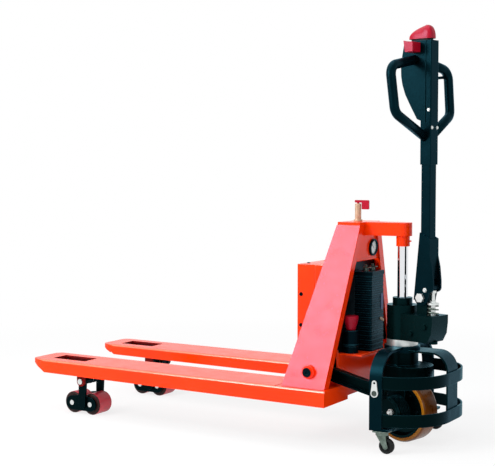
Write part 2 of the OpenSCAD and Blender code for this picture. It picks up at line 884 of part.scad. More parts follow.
// A rocker arm is a channel that opens outward, with a slotted eye for the leg's pin
module rocker_arm() {
    eye_l = 44;
    translate([0, -(bar_in + bar_out) / 2, 0]) rotate([0, rocker_rest, 0]) difference() {
        translate([0, -arm_bar_w / 2, -arm_bar_h / 2])
            cube([rocker_far + eye_l / 2, arm_bar_w, arm_bar_h]);
        translate([rocker_d / 2 + 6, -arm_bar_w / 2 - over, -arm_bar_h / 2 + arm_bar_wall])
            cube([rocker_far - eye_l / 2 - rocker_d / 2 - 6, arm_bar_w - arm_bar_wall + over,
                  arm_bar_h - 2 * arm_bar_wall]);
        translate([rocker_reach, 0, 0])
            slab_xz(arm_bar_w + 2 * over) strap_2d(rocker_far - rocker_reach, leg_pin_d / 2 + eye_play);
    }
}

leg_pin_d = 20;

module rocker() {
    color(black) truck() translate([rocker_x, 0, rocker_z]) difference() {
        union() {
            cross_bar(rocker_d, 2 * rocker_half);
            for (side = [-1, 1]) mirror([0, side < 0 ? 0 : 1, 0]) {
                rocker_arm();
                translate([0, -fork_y, 0]) rotate([0, 90 + rocker_rest, 0])
                    slab_xz(short_arm_t) taper_2d(short_arm, rocker_d / 2, 13);
            }
        }
        cross_bar(rocker_pin_d + 2 * fit, 2 * rocker_half + 2 * over);
        for (side = [-1, 1]) translate([0, side * fork_y, 0]) rotate([0, 90 + rocker_rest, 0])
            translate([short_arm, 0, 0]) cross_bar(push_pin_d + 2 * fit, short_arm_t + 2 * over);
    }
}

// A push rod ends in a fork round the short lever and in a tall hook over the roller frame's pin
module push_rod(side) {
    fork_gap = short_arm_t + 2 * side_gap;
    fork_ear = 5;
    eye_r = push_pin_d / 2 + eye_play;
    color(black) truck() translate([push_x, side * fork_y, push_z]) rotate([0, -push_tilt, 0])
        mirror([1, 0, 0]) {
            translate([26, 0, 0]) rotate([0, 90, 0])
                cylinder(d = push_d, h = push_len - 26 - eye_r - 1);
            for (y = [-1, 1]) translate([0, y * (fork_gap + fork_ear) / 2, 0])
                slab_xz(fork_ear) strap_2d(26, 9);
            translate([20, -fork_gap / 2 - fork_ear, -9]) cube([10, fork_gap + 2 * fork_ear, 18]);
            cross_bar(push_pin_d, fork_gap + 2 * fork_ear);
            translate([push_len, 0, 0]) slab_xz(push_eye_t) difference() {
                rotate(90) strap_2d(eye_rise, eye_r + 3);
                rotate(90) strap_2d(eye_rise, eye_r);
                translate([-2 * eye_r, -2 * eye_r - 2]) square([4 * eye_r, 2 * eye_r]);
            }
        }
}

// A roller frame hangs on its pivot: two side links, each with a sleeve and an ear of the push lever
module roller_frame(side) {
    color(black) truck() translate([pivot_x, side * fork_y, pivot_z]) difference() {
        union() {
            for (y = [-1, 1]) {
                translate([0, y * link_y, 0]) rotate([0, 90 + frame_rest, 0])
                    slab_xz(link_t) taper_2d(link_len, link_r, link_r - 2);
                translate([-link_lean, y * (link_y - (bogie_t + side_gap) / 2), -link_fall])
                    cross_bar(stub_d, link_t + bogie_t + side_gap);
                translate([0, y * ear_y, 0]) rotate([0, -90 - lever_half, 0])
                    slab_xz(ear_t) taper_2d(lever_r, pivot_d / 2 + 6, push_pin_d / 2 + 4);
            }
            for (y = [-1, 1]) translate([0, y * (push_half + link_y) / 2, 0])
                cross_bar(pivot_d + 10, link_y - push_half);
            translate([lever_x - pivot_x, 0, lever_z - pivot_z])
                cross_bar(push_pin_d, 2 * ear_y);
        }
        cross_bar(pivot_d + 2 * fit, fork_w);
    }
}

// A bogie's two plates hold both roller axles and turn on the roller frame's stub pins
module bogie(side) {
    color(black) truck() translate([bogie_x, side * fork_y, roller_r]) {
        for (y = [-1, 1]) translate([0, y * bogie_y, 0]) slab_xz(bogie_t) difference() {
            union() {
                for (x = [-1, 1]) translate([x * roller_pitch / 2, 0]) circle(bogie_r);
                polygon([
                    [-roller_pitch / 2, -bogie_r], [roller_pitch / 2, -bogie_r],
                    [roller_pitch / 2, bogie_r], [0, bogie_r + 6], [-roller_pitch / 2, bogie_r]
                ]);
            }
            translate([stub_back, 0]) circle(d = stub_d + 2 * fit);
        }
        for (x = [-1, 1]) translate([x * roller_pitch / 2, 0, 0]) {
            cross_bar(roller_axle_d, 2 * bogie_y + bogie_t);
            for (y = [-1, 1]) translate([0, y * (roller_w / 2 + 1.2), 0])
                cross_bar(roller_axle_d + 8, 1.6);
        }
    }
}

module load_roller(end, side) {
    chamfer = 4;
    dish = 2;
    bore = roller_axle_d / 2 + fit;
    half = roller_w / 2;
    color(red) truck() translate([bogie_x + end * roller_pitch / 2, side * fork_y, roller_r])
        rotate([90, 0, 0]) rotate_extrude() polygon([
            [bore, -half + dish], [roller_r * 0.62, -half + dish], [roller_r * 0.62, -half],
            [roller_r - chamfer, -half], [roller_r, -half + chamfer], [roller_r, half - chamfer],
            [roller_r - chamfer, half], [roller_r * 0.62, half], [roller_r * 0.62, half - dish],
            [bore, half - dish]
        ]);
}

// Inverted strap with a bearing hub in its crown and a bent foot under each leg
module arch() {
    foot_in = leg_in - 22;
    foot_out = arch_half;
    foot_end = caster_x + 26;
    color(black) truck() difference() {
        union() {
            translate([leg_x - strap_w / 2, 0, leg_end]) slab_yz(strap_w) difference() {
                arched_rect(2 * arch_half, arch_top - leg_end, arch_bend);
                translate([0, -over])
                    arched_rect(2 * leg_in, arch_top - leg_end - strap_t + over, arch_bend - strap_t);
            }
            translate([0, 0, hub_low]) cylinder(d = hub_d, h = arch_top - hub_low);
            for (y = [foot_in, -foot_out]) translate([leg_x - strap_w / 2, y, leg_end - foot_t])
                cube([foot_end - leg_x + strap_w / 2, foot_out - foot_in, foot_t]);
        }
        translate([0, 0, hub_low - over]) cylinder(d = king_d + 2 * fit, h = arch_top);
        translate([leg_x, 0, leg_pin_z]) cross_bar(leg_pin_d + 2 * fit, 2 * arch_half + 2 * over);
        for (side = [-1, 1]) translate([caster_x, side * caster_y, 0])
            cylinder(d = caster_pin_d + 2 * fit, h = leg_end + over);
    }
}

// Strap that runs back from the hub and bends down behind the wheel to the lower hoop
module rear_strap() {
    drop = rear_top - hoop_low;
    color(black) truck() difference() {
        translate([0, 0, hoop_low]) slab_xz(rear_w) difference() {
            union() {
                square([rear_x_out - rear_bend, drop]);
                square([rear_x_out, drop - rear_bend]);
                translate([rear_x_out - rear_bend, drop - rear_bend]) circle(rear_bend);
            }
            translate([-over, -over]) square([rear_x_out - rear_bend + over, drop - rear_t + over]);
            translate([-over, -over]) square([rear_x_out - rear_t + over, drop - rear_bend + over]);
            translate([rear_x_out - rear_bend, drop - rear_bend]) circle(rear_bend - rear_t);
        }
        cylinder(d = hub_d, h = arch_top);
        translate([leg_x - strap_w / 2, -arch_half, 0]) cube([strap_w, 2 * arch_half, arch_top]);
    }
}

// Outline of a guard hoop seen from above, flat behind the rear strap
module hoop_2d(r) {
    for (y = [-hoop_flat, hoop_flat]) translate([hoop_cx, y]) circle(r, $fn = 96);
    translate([hoop_cx, -hoop_flat]) square([r, 2 * hoop_flat]);
}

module hoops() {
    color(black) truck() for (z = [hoop_low, hoop_high]) translate([0, 0, z])
        linear_extrude(hoop_h) intersection() {
            difference() {
                hoop_2d(hoop_r);
                hoop_2d(hoop_r - hoop_t);
            }
            translate([leg_rear, -2 * hoop_r]) square([2 * hoop_r, 4 * hoop_r]);
        }
}

module bearing_ring() {
    color(zinc) truck() translate([0, 0, arch_top]) difference() {
        cylinder(d = ring_d, h = ring_h);
        translate([0, 0, -over]) cylinder(d = king_d + 2 * fit, h = ring_h + 2 * over);
    }
}

module leg_pins() {
    inner = bar_in - 2;
    color(zinc) truck() for (side = [-1, 1])
        translate([leg_x, side * (inner + arch_half) / 2, leg_pin_z])
            cross_bar(leg_pin_d, arch_half - inner);
}

module keeper_tabs() {
    tab_t = 4;
    tab_l = 31;
    color(zinc) truck() for (side = [-1, 1])
        translate([leg_x - 2, side * (arch_half + tab_t / 2), leg_pin_z - 2]) slab_xz(tab_t) difference() {
            rotate(90) taper_2d(tab_l, 12, 8);
            translate([0, tab_l]) circle(d = 7);
        }
}

module caster_plates() {
    color(zinc) truck() for (side = [-1, 1]) translate([caster_x, side * caster_y, 0]) {
        translate([-caster_plate_l / 2, -caster_plate_w / 2, caster_top])
            cube([caster_plate_l, caster_plate_w, caster_plate_t]);
        translate([0, 0, caster_top - race_h - 3])
            cylinder(d = caster_pin_d, h = leg_end - caster_top + race_h + 3);
    }
}

module caster_fork(side) {
    leg_t = 3;
    inner = caster_w / 2 + 1;
    r = caster_d / 2;
    plate = caster_top - 0.3;
    color(zinc) truck() translate([caster_x, side * caster_y, 0]) difference() {
        union() {
            translate([0, 0, plate - race_h]) cylinder(d = 38, h = race_h);
            for (y = [-1, 1]) translate([0, y * (inner + leg_t / 2), 0]) slab_xz(leg_t) {
                polygon([[-14, plate - race_h + 1], [16, plate - race_h + 1],
                         [caster_trail + 7, r], [caster_trail - 7, r - 2]]);
                translate([caster_trail, r]) circle(8);
            }
            translate([caster_trail, 0, r]) cross_bar(8, 2 * inner + 2 * leg_t + 4);
        }
        translate([0, 0, plate - race_h - over]) cylinder(d = caster_pin_d + 2 * fit, h = race_h + 2 * over);
    }
}

module caster_wheel(side) {
    r = caster_d / 2;
    half = caster_w / 2;
    color(black) truck() translate([caster_x + caster_trail, side * caster_y, r]) rotate([90, 0, 0])
        rotate_extrude() polygon([
            [4 + fit, -half], [9, -half], [9, -half + 3], [r * 0.6, -half + 3], [r * 0.7, -half],
            [r - 3, -half], [r, -half + 3], [r, half - 3], [r - 3, half], [r * 0.7, half],
            [r * 0.6, half - 3], [9, half - 3], [9, half], [4 + fit, half]
        ]);
}

// Cylinder round the lift rod, plunger block, pivot ear and the king tube below them
module pump_body() {
    boss_low = guide_top - 80;
    color(black) steered() difference() {
        union() {
            translate([0, 0, yoke_top]) cylinder(d = king_d, h = pump_low - yoke_top + over);
            translate([0, 0, pump_low]) cylinder(d = pump_d, h = pump_shoulder - pump_low);
            translate([0, 0, pump_low]) cylinder(d = rod_d + 28, h = pump_top - pump_low);
            slab_xz(2 * block_half) polygon([
                [pump_d / 4, pump_low], [block_end - 18, pump_low], [block_end - 4, pump_low + 26],
                [block_end, pump_low + 60], [block_end, block_top], [pump_d / 4, block_top]
            ]);
            slab_xz(2 * ear_half) {
                translate([tiller_pivot_x, tiller_pivot_z]) circle(ear_r);
                translate([tiller_pivot_x - ear_r, pump_low]) square([2 * ear_r, tiller_pivot_z - pump_low]);
            }
            translate([plunger_x, 0, boss_low]) cylinder(d = guide_d + 6, h = pump_low - boss_low + over);
        }
        translate([0, 0, bore_low]) cylinder(d = rod_d + 2 * fit, h = pump_top);
        translate([plunger_x, 0, 0]) {
            difference() {
                translate([0, 0, well_low])
                    cylinder(d = well_d, h = plunger_cap_z + plunger_cap_t + 4 - well_low);
                cylinder(d = guide_d, h = guide_top);
            }
            translate([0, 0, boss_low + 6]) cylinder(d = plunger_d + 2 * fit, h = guide_top - boss_low);
            translate([0, 0, plunger_cap_z]) cylinder(d = 26, h = pump_top);
        }
        translate([tiller_pivot_x, 0, tiller_pivot_z]) cross_bar(tiller_pin_d + 2 * fit, 2 * block_half);
    }
}

// Oblong turntable and neck on the king tube, with a cheek on each side of the wheel
module yoke() {
    half = 36;
    tip = 30;
    color(black) steered() difference() {
        union() {
            translate([0, 0, yoke_low]) linear_extrude(yoke_top - yoke_low) hull() {
                circle(d = turntable_d, $fn = 72);
                translate([turntable_back, 0]) circle(d = turntable_d, $fn = 72);
            }
            translate([0, 0, yoke_low]) cylinder(d = neck_d, h = hub_low - 1.5 - yoke_low, $fn = 72);
            for (y = [-1, 1]) translate([wheel_trail, y * (cheek_in + cheek_t / 2), 0]) slab_xz(cheek_t) {
                translate([0, wheel_r]) circle(tip);
                polygon([[-tip, wheel_r], [tip, wheel_r], [half, yoke_low + 4], [-half, yoke_low + 4]]);
            }
        }
        translate([wheel_trail, 0, wheel_r]) cross_bar(axle_d + 2 * fit, 2 * cheek_out + 2 * over);
        translate([0, 0, yoke_top]) cylinder(d = king_d, h = arch_top);
    }
}

module drive_motor() {
    fins = 6;
    fin_pitch = (motor_l - 8) / fins;
    color(black) steered() translate([wheel_trail, -cheek_out, wheel_r]) rotate([90, 0, 0]) {
        difference() {
            cylinder(d = motor_d, h = motor_l);
            for (i = [0:fins - 1]) translate([0, 0, 6 + fin_pitch * i]) difference() {
                cylinder(d = motor_d + 2 * over, h = fin_pitch / 2);
                translate([0, 0, -over]) cylinder(d = motor_d - 8, h = fin_pitch);
            }
        }
        translate([0, 0, motor_l]) cylinder(d1 = motor_d - 4, d2 = motor_d - 10, h = motor_cap);
    }
}

module cable_gland() {
    color(zinc) steered()
        translate([wheel_trail + 28, -cheek_out - motor_l - motor_cap, wheel_r + 12]) rotate([90, 0, 0]) {
            cylinder(d = 20, h = 7, $fn = 6);
            translate([0, 0, 7]) cylinder(d1 = 15, d2 = 10, h = 8);
        }
}

module drive_axle() {
    nut_h = 14;
    color(zinc) steered() translate([wheel_trail, 0, wheel_r]) {
        translate([0, nut_h / 2, 0]) cross_bar(axle_d, 2 * cheek_out + nut_h);
        translate([0, cheek_out + nut_h / 2, 0]) rotate([90, 0, 0])
            cylinder(d = axle_d * 1.7, h = nut_h - 2, center = true, $fn = 6);
        for (y = [-1, 1]) translate([0, y * (cheek_in - 3.7), 0]) cross_bar(axle_d + 14, 7.4);
    }
}

module drive_tyre() {
    crown = 10;
    half = wheel_w / 2;
    color(amber) steered() translate([wheel_trail, 0, wheel_r]) rotate([90, 0, 0])
        rotate_extrude($fn = 96) polygon([
            [wheel_r - tyre_t, -half], [wheel_r - 5, -half], [wheel_r, -half + crown],
            [wheel_r, half - crown], [wheel_r - 5, half], [wheel_r - tyre_t, half]
        ]);
}

module drive_hub() {
    half = wheel_w / 2;
    rim = wheel_r - tyre_t;
    web = 18;
    bolts = 6;
    color(black) steered() translate([wheel_trail, 0, wheel_r]) rotate([90, 0, 0]) difference() {
        rotate_extrude($fn = 96) polygon([
            [axle_d / 2 + fit, -half], [axle_d, -half], [axle_d + 6, -half + web], [rim - 14, -half + web],
            [rim - 8, -half], [rim, -half], [rim, half], [rim - 8, half], [rim - 14, half - web],
            [axle_d + 6, half - web], [axle_d, half], [axle_d / 2 + fit, half]
        ]);
        for (i = [0:bolts - 1]) rotate([0, 0, 360 * i / bolts]) translate([rim * 0.62, 0, 0])
            cylinder(d = 14, h = wheel_w, center = true);
    }
}

// Plunger with its spring cap and the screw that the tiller's pusher presses
module plunger() {
    screw = plunger_head - plunger_cap_z - plunger_cap_t;
    color(zinc) steered() translate([plunger_x, 0, 0]) {
        translate([0, 0, plunger_low]) cylinder(d = plunger_d, h = plunger_cap_z - plunger_low + over);
        translate([0, 0, plunger_cap_z]) cylinder(d = plunger_cap_d, h = plunger_cap_t);
        translate([0, 0, plunger_cap_z + plunger_cap_t]) cylinder(d = 20, h = 7, $fn = 6);
        translate([0, 0, plunger_cap_z + plunger_cap_t]) cylinder(d = 12, h = screw);
        translate([0, 0, plunger_head - 8]) cylinder(d = 22, h = 8, $fn = 6);
    }
}

// Helix of the plunger spring, from its well to the cap
spring_rings = 8;
spring_n = spring_rings * spring_turns;
spring_rise = spring_high - spring_low - spring_wire;
function spring_point(i) =
    let (a = 360 * i / spring_rings)
    [spring_r * cos(a), spring_r * sin(a), spring_low + spring_wire / 2 + spring_rise * i / spring_n];
spring_path = [for (i = [0:spring_n]) spring_point(i)];
spring_gap = min([
    for (i = [0:spring_n - spring_rings / 2 - 1], j = [i + spring_rings / 2:spring_n])
        norm(spring_path[i] - spring_path[j])
]) - spring_wire;

module plunger_spring() {
    echo("plunger spring, least gap to itself", spring_gap);
    color("silver") steered() translate([plunger_x, 0, 0])
        tube_along(spring_path, spring_wire / 2, 6, [0, 0, 1]);
}

// Two cheeks on the pivot bolt, a web behind the column and the bar that presses the plunger
module tiller_base() {
    top = 650;
    rear = column_x + column_w / 2;
    color(black) steered() difference() {
        union() {
            for (y = [-1, 1]) translate([0, y * (cheek_face + cheek_plate / 2), 0]) slab_xz(cheek_plate) {
                translate([tiller_pivot_x, tiller_pivot_z]) circle(24);
                translate([pusher_x, pusher_z]) circle(pusher_r + 6);
                polygon([
                    [tiller_pivot_x - 27, tiller_pivot_z - 8], [column_x - column_w / 2 + 1, top],
                    [rear + cheek_plate, top - 18], [rear + cheek_plate, pusher_z + 96],
                    [rear + 14, pusher_z + 62], [pusher_x + pusher_r + 6, pusher_z + 20],
                    [pusher_x + pusher_r + 6, pusher_z + 2], [pusher_x, pusher_z - pusher_r - 5],
                    [tiller_pivot_x + 22, tiller_pivot_z - 8]
                ]);
            }
            translate([rear, -cheek_face, column_low])
                cube([cheek_plate, 2 * cheek_face, top - 18 - column_low]);
            translate([pusher_x, 0, pusher_z]) cross_bar(2 * pusher_r, 2 * cheek_face);
        }
        translate([tiller_pivot_x, 0, tiller_pivot_z]) cross_bar(tiller_pin_d + 2 * fit, 4 * cheek_face);
    }
}

module square_tube(x, w, wall, low, high) {
    translate([x, 0, low]) linear_extrude(high - low) difference() {
        round_rect(w, w, 3);
        round_rect(w - 2 * wall, w - 2 * wall, 2);
    }
}

module tiller_column() {
    color(black) steered() square_tube(column_x, column_w, tube_wall, column_low, column_high);
}

module tiller_sleeve() {
    wall = (sleeve_w - column_w) / 2 - fit;
    color(black) steered() square_tube(column_x, sleeve_w, wall, sleeve_low, sleeve_top);
}

// Centre line of one side of the handle loop, from the head out, down and back to the sleeve
grip_len = sleeve_top - sleeve_low;
loop_clear = 34;
loop_slope = 27;
loop_top = lever_axis_z - loop_clear;
loop_shoulder = loop_top - loop_slope;
loop_elbow = sleeve_top - 0.591 * grip_len;
loop_foot = sleeve_top - 0.774 * grip_len;
strut_z = loop_shoulder - 0.24 * (loop_shoulder - loop_elbow);
loop_x = column_x - 40;
function loop_points(side) = [
    [loop_x, side * (head_w - 6), loop_top], [loop_x + 4, side * handle_half, loop_shoulder],
    [loop_x + 18, side * (handle_half - 7), loop_elbow], [column_x - 4, side * 6, loop_foot - 6]
];

module handle_loop() {
    color(black) steered() difference() {
        union() {
            for (side = [-1, 1])
                tube_along(bent_path(loop_points(side), handle_bend, 6), handle_d / 2, 12, [1, 0, 0]);
            translate([loop_x + 6, 0, strut_z]) rotate([-84, 0, 0])
                cylinder(d = 9, h = handle_half - 10);
        }
        translate([column_x - sleeve_w / 2, -sleeve_w / 2, sleeve_low])
            cube([sleeve_w, sleeve_w, grip_len]);
        translate([0, -head_w, sleeve_low]) cube([column_x, 2 * head_w, grip_len]);
    }
}

// Wedge round the front of the sleeve that holds the thumb lever's shaft
head_profile = [
    [91, -0.661], [61, -0.632], [38, -0.53], [17, -0.43], [6, -0.349], [1, -0.28],
    [0, -0.21], [4, -0.118], [10, -0.038], [12, 0], [91, 0]
];

module control_head() {
    back = column_x - sleeve_w / 2;
    color(black) steered() difference() {
        translate([column_x - 91, 0, sleeve_top]) slab_xz(2 * head_w)
            polygon([for (p = head_profile) [p[0], p[1] * grip_len]]);
        translate([back, -sleeve_w / 2, sleeve_low]) cube([sleeve_w, sleeve_w, grip_len + over]);
        translate([lever_axis_x, 0, lever_axis_z])
            cross_bar(lever_shaft_d + 2 * fit, 2 * head_w + 2 * over);
    }
}

module tiller_pin() {
    outer = cheek_face + cheek_plate;
    color(zinc) steered() translate([tiller_pivot_x, 0, tiller_pivot_z]) {
        cross_bar(tiller_pin_d, 2 * outer + 12);
        for (y = [-1, 1]) translate([0, y * (outer + 5), 0]) rotate([90, 0, 0])
            cylinder(d = tiller_pin_d * 1.65, h = 10, center = true, $fn = 6);
    }
}

// Domed cap over the head and the sleeve, with a stem that slides in the sleeve
module belly_button() {
    low = sleeve_top + belly_gap;
    rear = column_x + 15;
    stem = column_w - 1;
    crown = 18;
    color(red) steered() {
        hull() {
            for (y = [-1, 1]) {
                translate([head_front_x + 29, y * 10, low]) cylinder(r = 8, h = 3, $fn = 24);
                translate([rear - 13, y * 7, low]) cylinder(r = 13, h = 11, $fn = 24);
                translate([rear - 27, y * 2, low + belly_h - crown]) sphere(crown, $fn = 24);
            }
        }
        translate([column_x, 0, sleeve_top - 30])
            linear_extrude(30 + belly_gap + over) round_rect(stem, stem, 2);
    }
}

// Shaft through the head with a thumb paddle on each side, outside the cap
module thumb_lever() {
    near = head_w + 1;
    reach = 40;
    color(red) steered() translate([lever_axis_x, 0, lever_axis_z]) {
        cross_bar(lever_shaft_d, 2 * (near + reach));
        for (y = [-1, 1]) translate([0, y * (near + reach / 2), 0]) slab_xz(reach) {
            circle(13);
            polygon([[-16, 20], [-5, 16], [18, 15], [18, -14], [-10, -15], [-13, 2]]);
        }
    }
}

fork(-1);  // fork_left
fork(1);  // fork_right
bridge();
cross_plate();
side_plates();
lift_arm();
lift_rod();
gauge_panel();
gauge_bezel();
gauge_face();
box_body();
box_cover();
battery_case();
battery_terminals();
inner_cover();
plug_socket();
plug_grip();
key_barrel();
rocker_pins();
roller_pivots();
key();
rocker();
push_rod(-1);  // push_rod_left
push_rod(1);  // push_rod_right
roller_frame(-1);  // roller_frame_left
roller_frame(1);  // roller_frame_right
bogie(-1);  // bogie_left
bogie(1);  // bogie_right
load_roller(-1, -1);  // load_roller_front_left
load_roller(1, -1);  // load_roller_rear_left
load_roller(-1, 1);  // load_roller_front_right
load_roller(1, 1);  // load_roller_rear_right
arch();
rear_strap();
hoops();
bearing_ring();
leg_pins();
keeper_tabs();
caster_plates();
pump_body();
yoke();
drive_motor();
cable_gland();
drive_axle();
drive_tyre();
drive_hub();
plunger();
plunger_spring();
tiller_base();
tiller_column();
tiller_sleeve();
handle_loop();
control_head();
tiller_pin();
belly_button();
thumb_lever();
caster_fork(-1);  // caster_fork_left
caster_fork(1);  // caster_fork_right
caster_wheel(-1);  // caster_wheel_left
caster_wheel(1);  // caster_wheel_right
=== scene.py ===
"""Looks of a semi-electric pallet truck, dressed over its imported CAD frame.

Metres. +X runs from the fork tips to the operator, +Z is up, and the floor is z = 0.
"""

import json
import logging
import math
from abc import ABC, abstractmethod
from dataclasses import dataclass, field
from enum import Enum
from functools import partial
from typing import Callable, Iterable, Sequence

import bmesh
import bpy
from mathutils import Matrix, Vector


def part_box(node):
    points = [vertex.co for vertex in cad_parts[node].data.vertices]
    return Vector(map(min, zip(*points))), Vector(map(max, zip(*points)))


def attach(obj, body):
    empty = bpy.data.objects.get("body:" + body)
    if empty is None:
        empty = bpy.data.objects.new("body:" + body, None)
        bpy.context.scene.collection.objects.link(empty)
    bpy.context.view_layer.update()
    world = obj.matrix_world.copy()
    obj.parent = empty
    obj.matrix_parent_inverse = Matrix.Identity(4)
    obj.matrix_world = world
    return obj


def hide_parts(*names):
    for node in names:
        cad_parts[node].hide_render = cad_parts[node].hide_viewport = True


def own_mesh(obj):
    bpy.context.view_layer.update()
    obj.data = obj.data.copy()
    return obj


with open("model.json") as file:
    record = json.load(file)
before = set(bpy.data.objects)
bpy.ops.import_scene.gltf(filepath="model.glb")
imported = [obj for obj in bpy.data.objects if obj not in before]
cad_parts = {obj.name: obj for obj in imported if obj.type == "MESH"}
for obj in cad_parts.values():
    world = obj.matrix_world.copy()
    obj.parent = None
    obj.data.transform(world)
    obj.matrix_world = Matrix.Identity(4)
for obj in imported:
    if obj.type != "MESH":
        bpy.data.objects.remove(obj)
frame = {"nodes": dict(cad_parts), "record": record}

LOG = logging.getLogger("pallet_truck")
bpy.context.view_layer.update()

# A millimetre, the king pin's place in millimetres, and the turn of the steering at rest
MM = 0.001
KING_X = 554.0
REST_STEER = math.radians(-13.0)

# Corners of a CAD mesh nearer than this are one, and faces that differ by less are one flat
SAME_PLACE = 2e-6
FLAT_ANGLE = math.radians(0.5)

Colour = tuple[float, float, float]
Point = tuple[float, float, float]


def srgb(code: str) -> Colour:
    """Turns a display colour into the linear one that a shader takes.

    Args:
        code: six hexadecimal digits.

    Returns:
        Linear red, green and blue.
    """
    parts = [int(code[i:i + 2], 16) / 255 for i in (0, 2, 4)]
    linear = [p / 12.92 if p <= 0.04045 else ((p + 0.055) / 1.055) ** 2.4 for p in parts]
    return linear[0], linear[1], linear[2]


def truck(x: float, y: float, z: float) -> Vector:
    """Place in the frame of a point given in millimetres from the king pin.

    Args:
        x: towards the operator.
        y: towards the far side.
        z: above the floor.

    Returns:
        The point in metres.
    """
    return Vector((KING_X + x, y, z)) * MM


def steered(x: float, y: float, z: float) -> Vector:
    """Place in the frame of a point given in the turned steering unit's own millimetres.

    Args:
        x: behind the king pin, along the unit.
        y: across the unit.
        z: above the floor.

    Returns:
        The point in metres.
    """
    c, s = math.cos(REST_STEER), math.sin(REST_STEER)
    return Vector((KING_X + x * c - y * s, x * s + y * c, z)) * MM


def steered_way(x: float, y: float, z: float) -> Vector:
    """Turns a direction of the steering unit into the frame's.

    Args:
        x: along the unit.
        y: across the unit.
        z: up.

    Returns:
        The direction, one unit long.
    """
    c, s = math.cos(REST_STEER), math.sin(REST_STEER)
    return Vector((x * c - y * s, x * s + y * c, z)).normalized()


# Finishes


class Grain(Enum):
    """The small relief that a finish has."""

    PEEL = "soft ripple of sprayed paint"
    CAST = "rough skin of a sand casting"
    BRUSHED = "fine lines along the height"
    PEBBLE = "moulded pebbles"
    STREAKED = "scuffs along the direction of rolling"


# Octaves of the noise that makes a grain, and its stretch along each axis
GRAIN_NOISE = {
    Grain.PEEL: (2, (1, 1, 1)),
    Grain.CAST: (6, (1, 1, 1)),
    Grain.BRUSHED: (3, (1, 1, 0.03)),
    Grain.STREAKED: (4, (0.12, 1, 0.12)),
}


class NodeSheet:
    """A material's node tree with short calls for adding and joining nodes."""

    NOISE_ROUGHNESS = 0.55
    NOISE_MIDDLE = (0.3, 0.7)

    def __init__(self, name: str) -> None:
        """Starts an empty tree with an output.

        Args:
            name: the material's name.
        """
        self.material = bpy.data.materials.new(name)
        self.material.use_nodes = True
        self.tree = self.material.node_tree
        self.tree.nodes.clear()
        self.output = self.tree.nodes.new("ShaderNodeOutputMaterial")

    def add(self, kind: str, **sockets: object) -> bpy.types.Node:
        """Adds a node.

        Args:
            kind: the node type's identifier.
            **sockets: input values by socket name, with spaces written as underscores.

        Returns:
            The new node.
        """
        node = self.tree.nodes.new(kind)
        for key, value in sockets.items():
            node.inputs[key.replace("_", " ")].default_value = value
        return node

    def join(self, source: bpy.types.NodeSocket, target: bpy.types.NodeSocket) -> None:
        """Links an output to an input."""
        self.tree.links.new(source, target)

    def place(self, scale: Sequence[float]) -> bpy.types.NodeSocket:
        """Object coordinates, stretched.

        Args:
            scale: factor along each axis.

        Returns:
            The vector output.
        """
        coords = self.add("ShaderNodeTexCoord")
        mapping = self.add("ShaderNodeMapping", Scale=tuple(scale))
        self.join(coords.outputs["Object"], mapping.inputs["Vector"])
        return mapping.outputs["Vector"]

    def noise(
        self, scale: float, detail: float, stretch: Sequence[float] = (1, 1, 1),
    ) -> bpy.types.NodeSocket:
        """Noise on Object coordinates.

        Args:
            scale: cycles per metre.
            detail: octaves.
            stretch: factor along each axis.

        Returns:
            The factor output.
        """
        node = self.add("ShaderNodeTexNoise", Scale=scale, Detail=detail, Roughness=self.NOISE_ROUGHNESS)
        self.join(self.place(stretch), node.inputs["Vector"])
        return node.outputs["Fac"]

    def spread(self, source: bpy.types.NodeSocket, low: float, high: float) -> bpy.types.NodeSocket:
        """Maps the middle of a noise to a range.

        Args:
            source: factor to map.
            low: value at the lower end of the middle.
            high: value at its upper end.

        Returns:
            The mapped output.
        """
        start, end = self.NOISE_MIDDLE
        node = self.add("ShaderNodeMapRange", From_Min=start, From_Max=end, To_Min=low, To_Max=high)
        self.join(source, node.inputs["Value"])
        return node.outputs["Result"]

    def blend(self, factor: bpy.types.NodeSocket, a: Colour, b: Colour) -> bpy.types.NodeSocket:
        """Mixes two colours.

        Args:
            factor: share of the second colour.
            a: first colour.
            b: second colour.

        Returns:
            The colour output.
        """
        node = self.tree.nodes.new("ShaderNodeMix")
        node.data_type = "RGBA"
        node.inputs["A"].default_value = (*a, 1)
        node.inputs["B"].default_value = (*b, 1)
        self.join(factor, node.inputs["Factor"])
        return node.outputs["Result"]


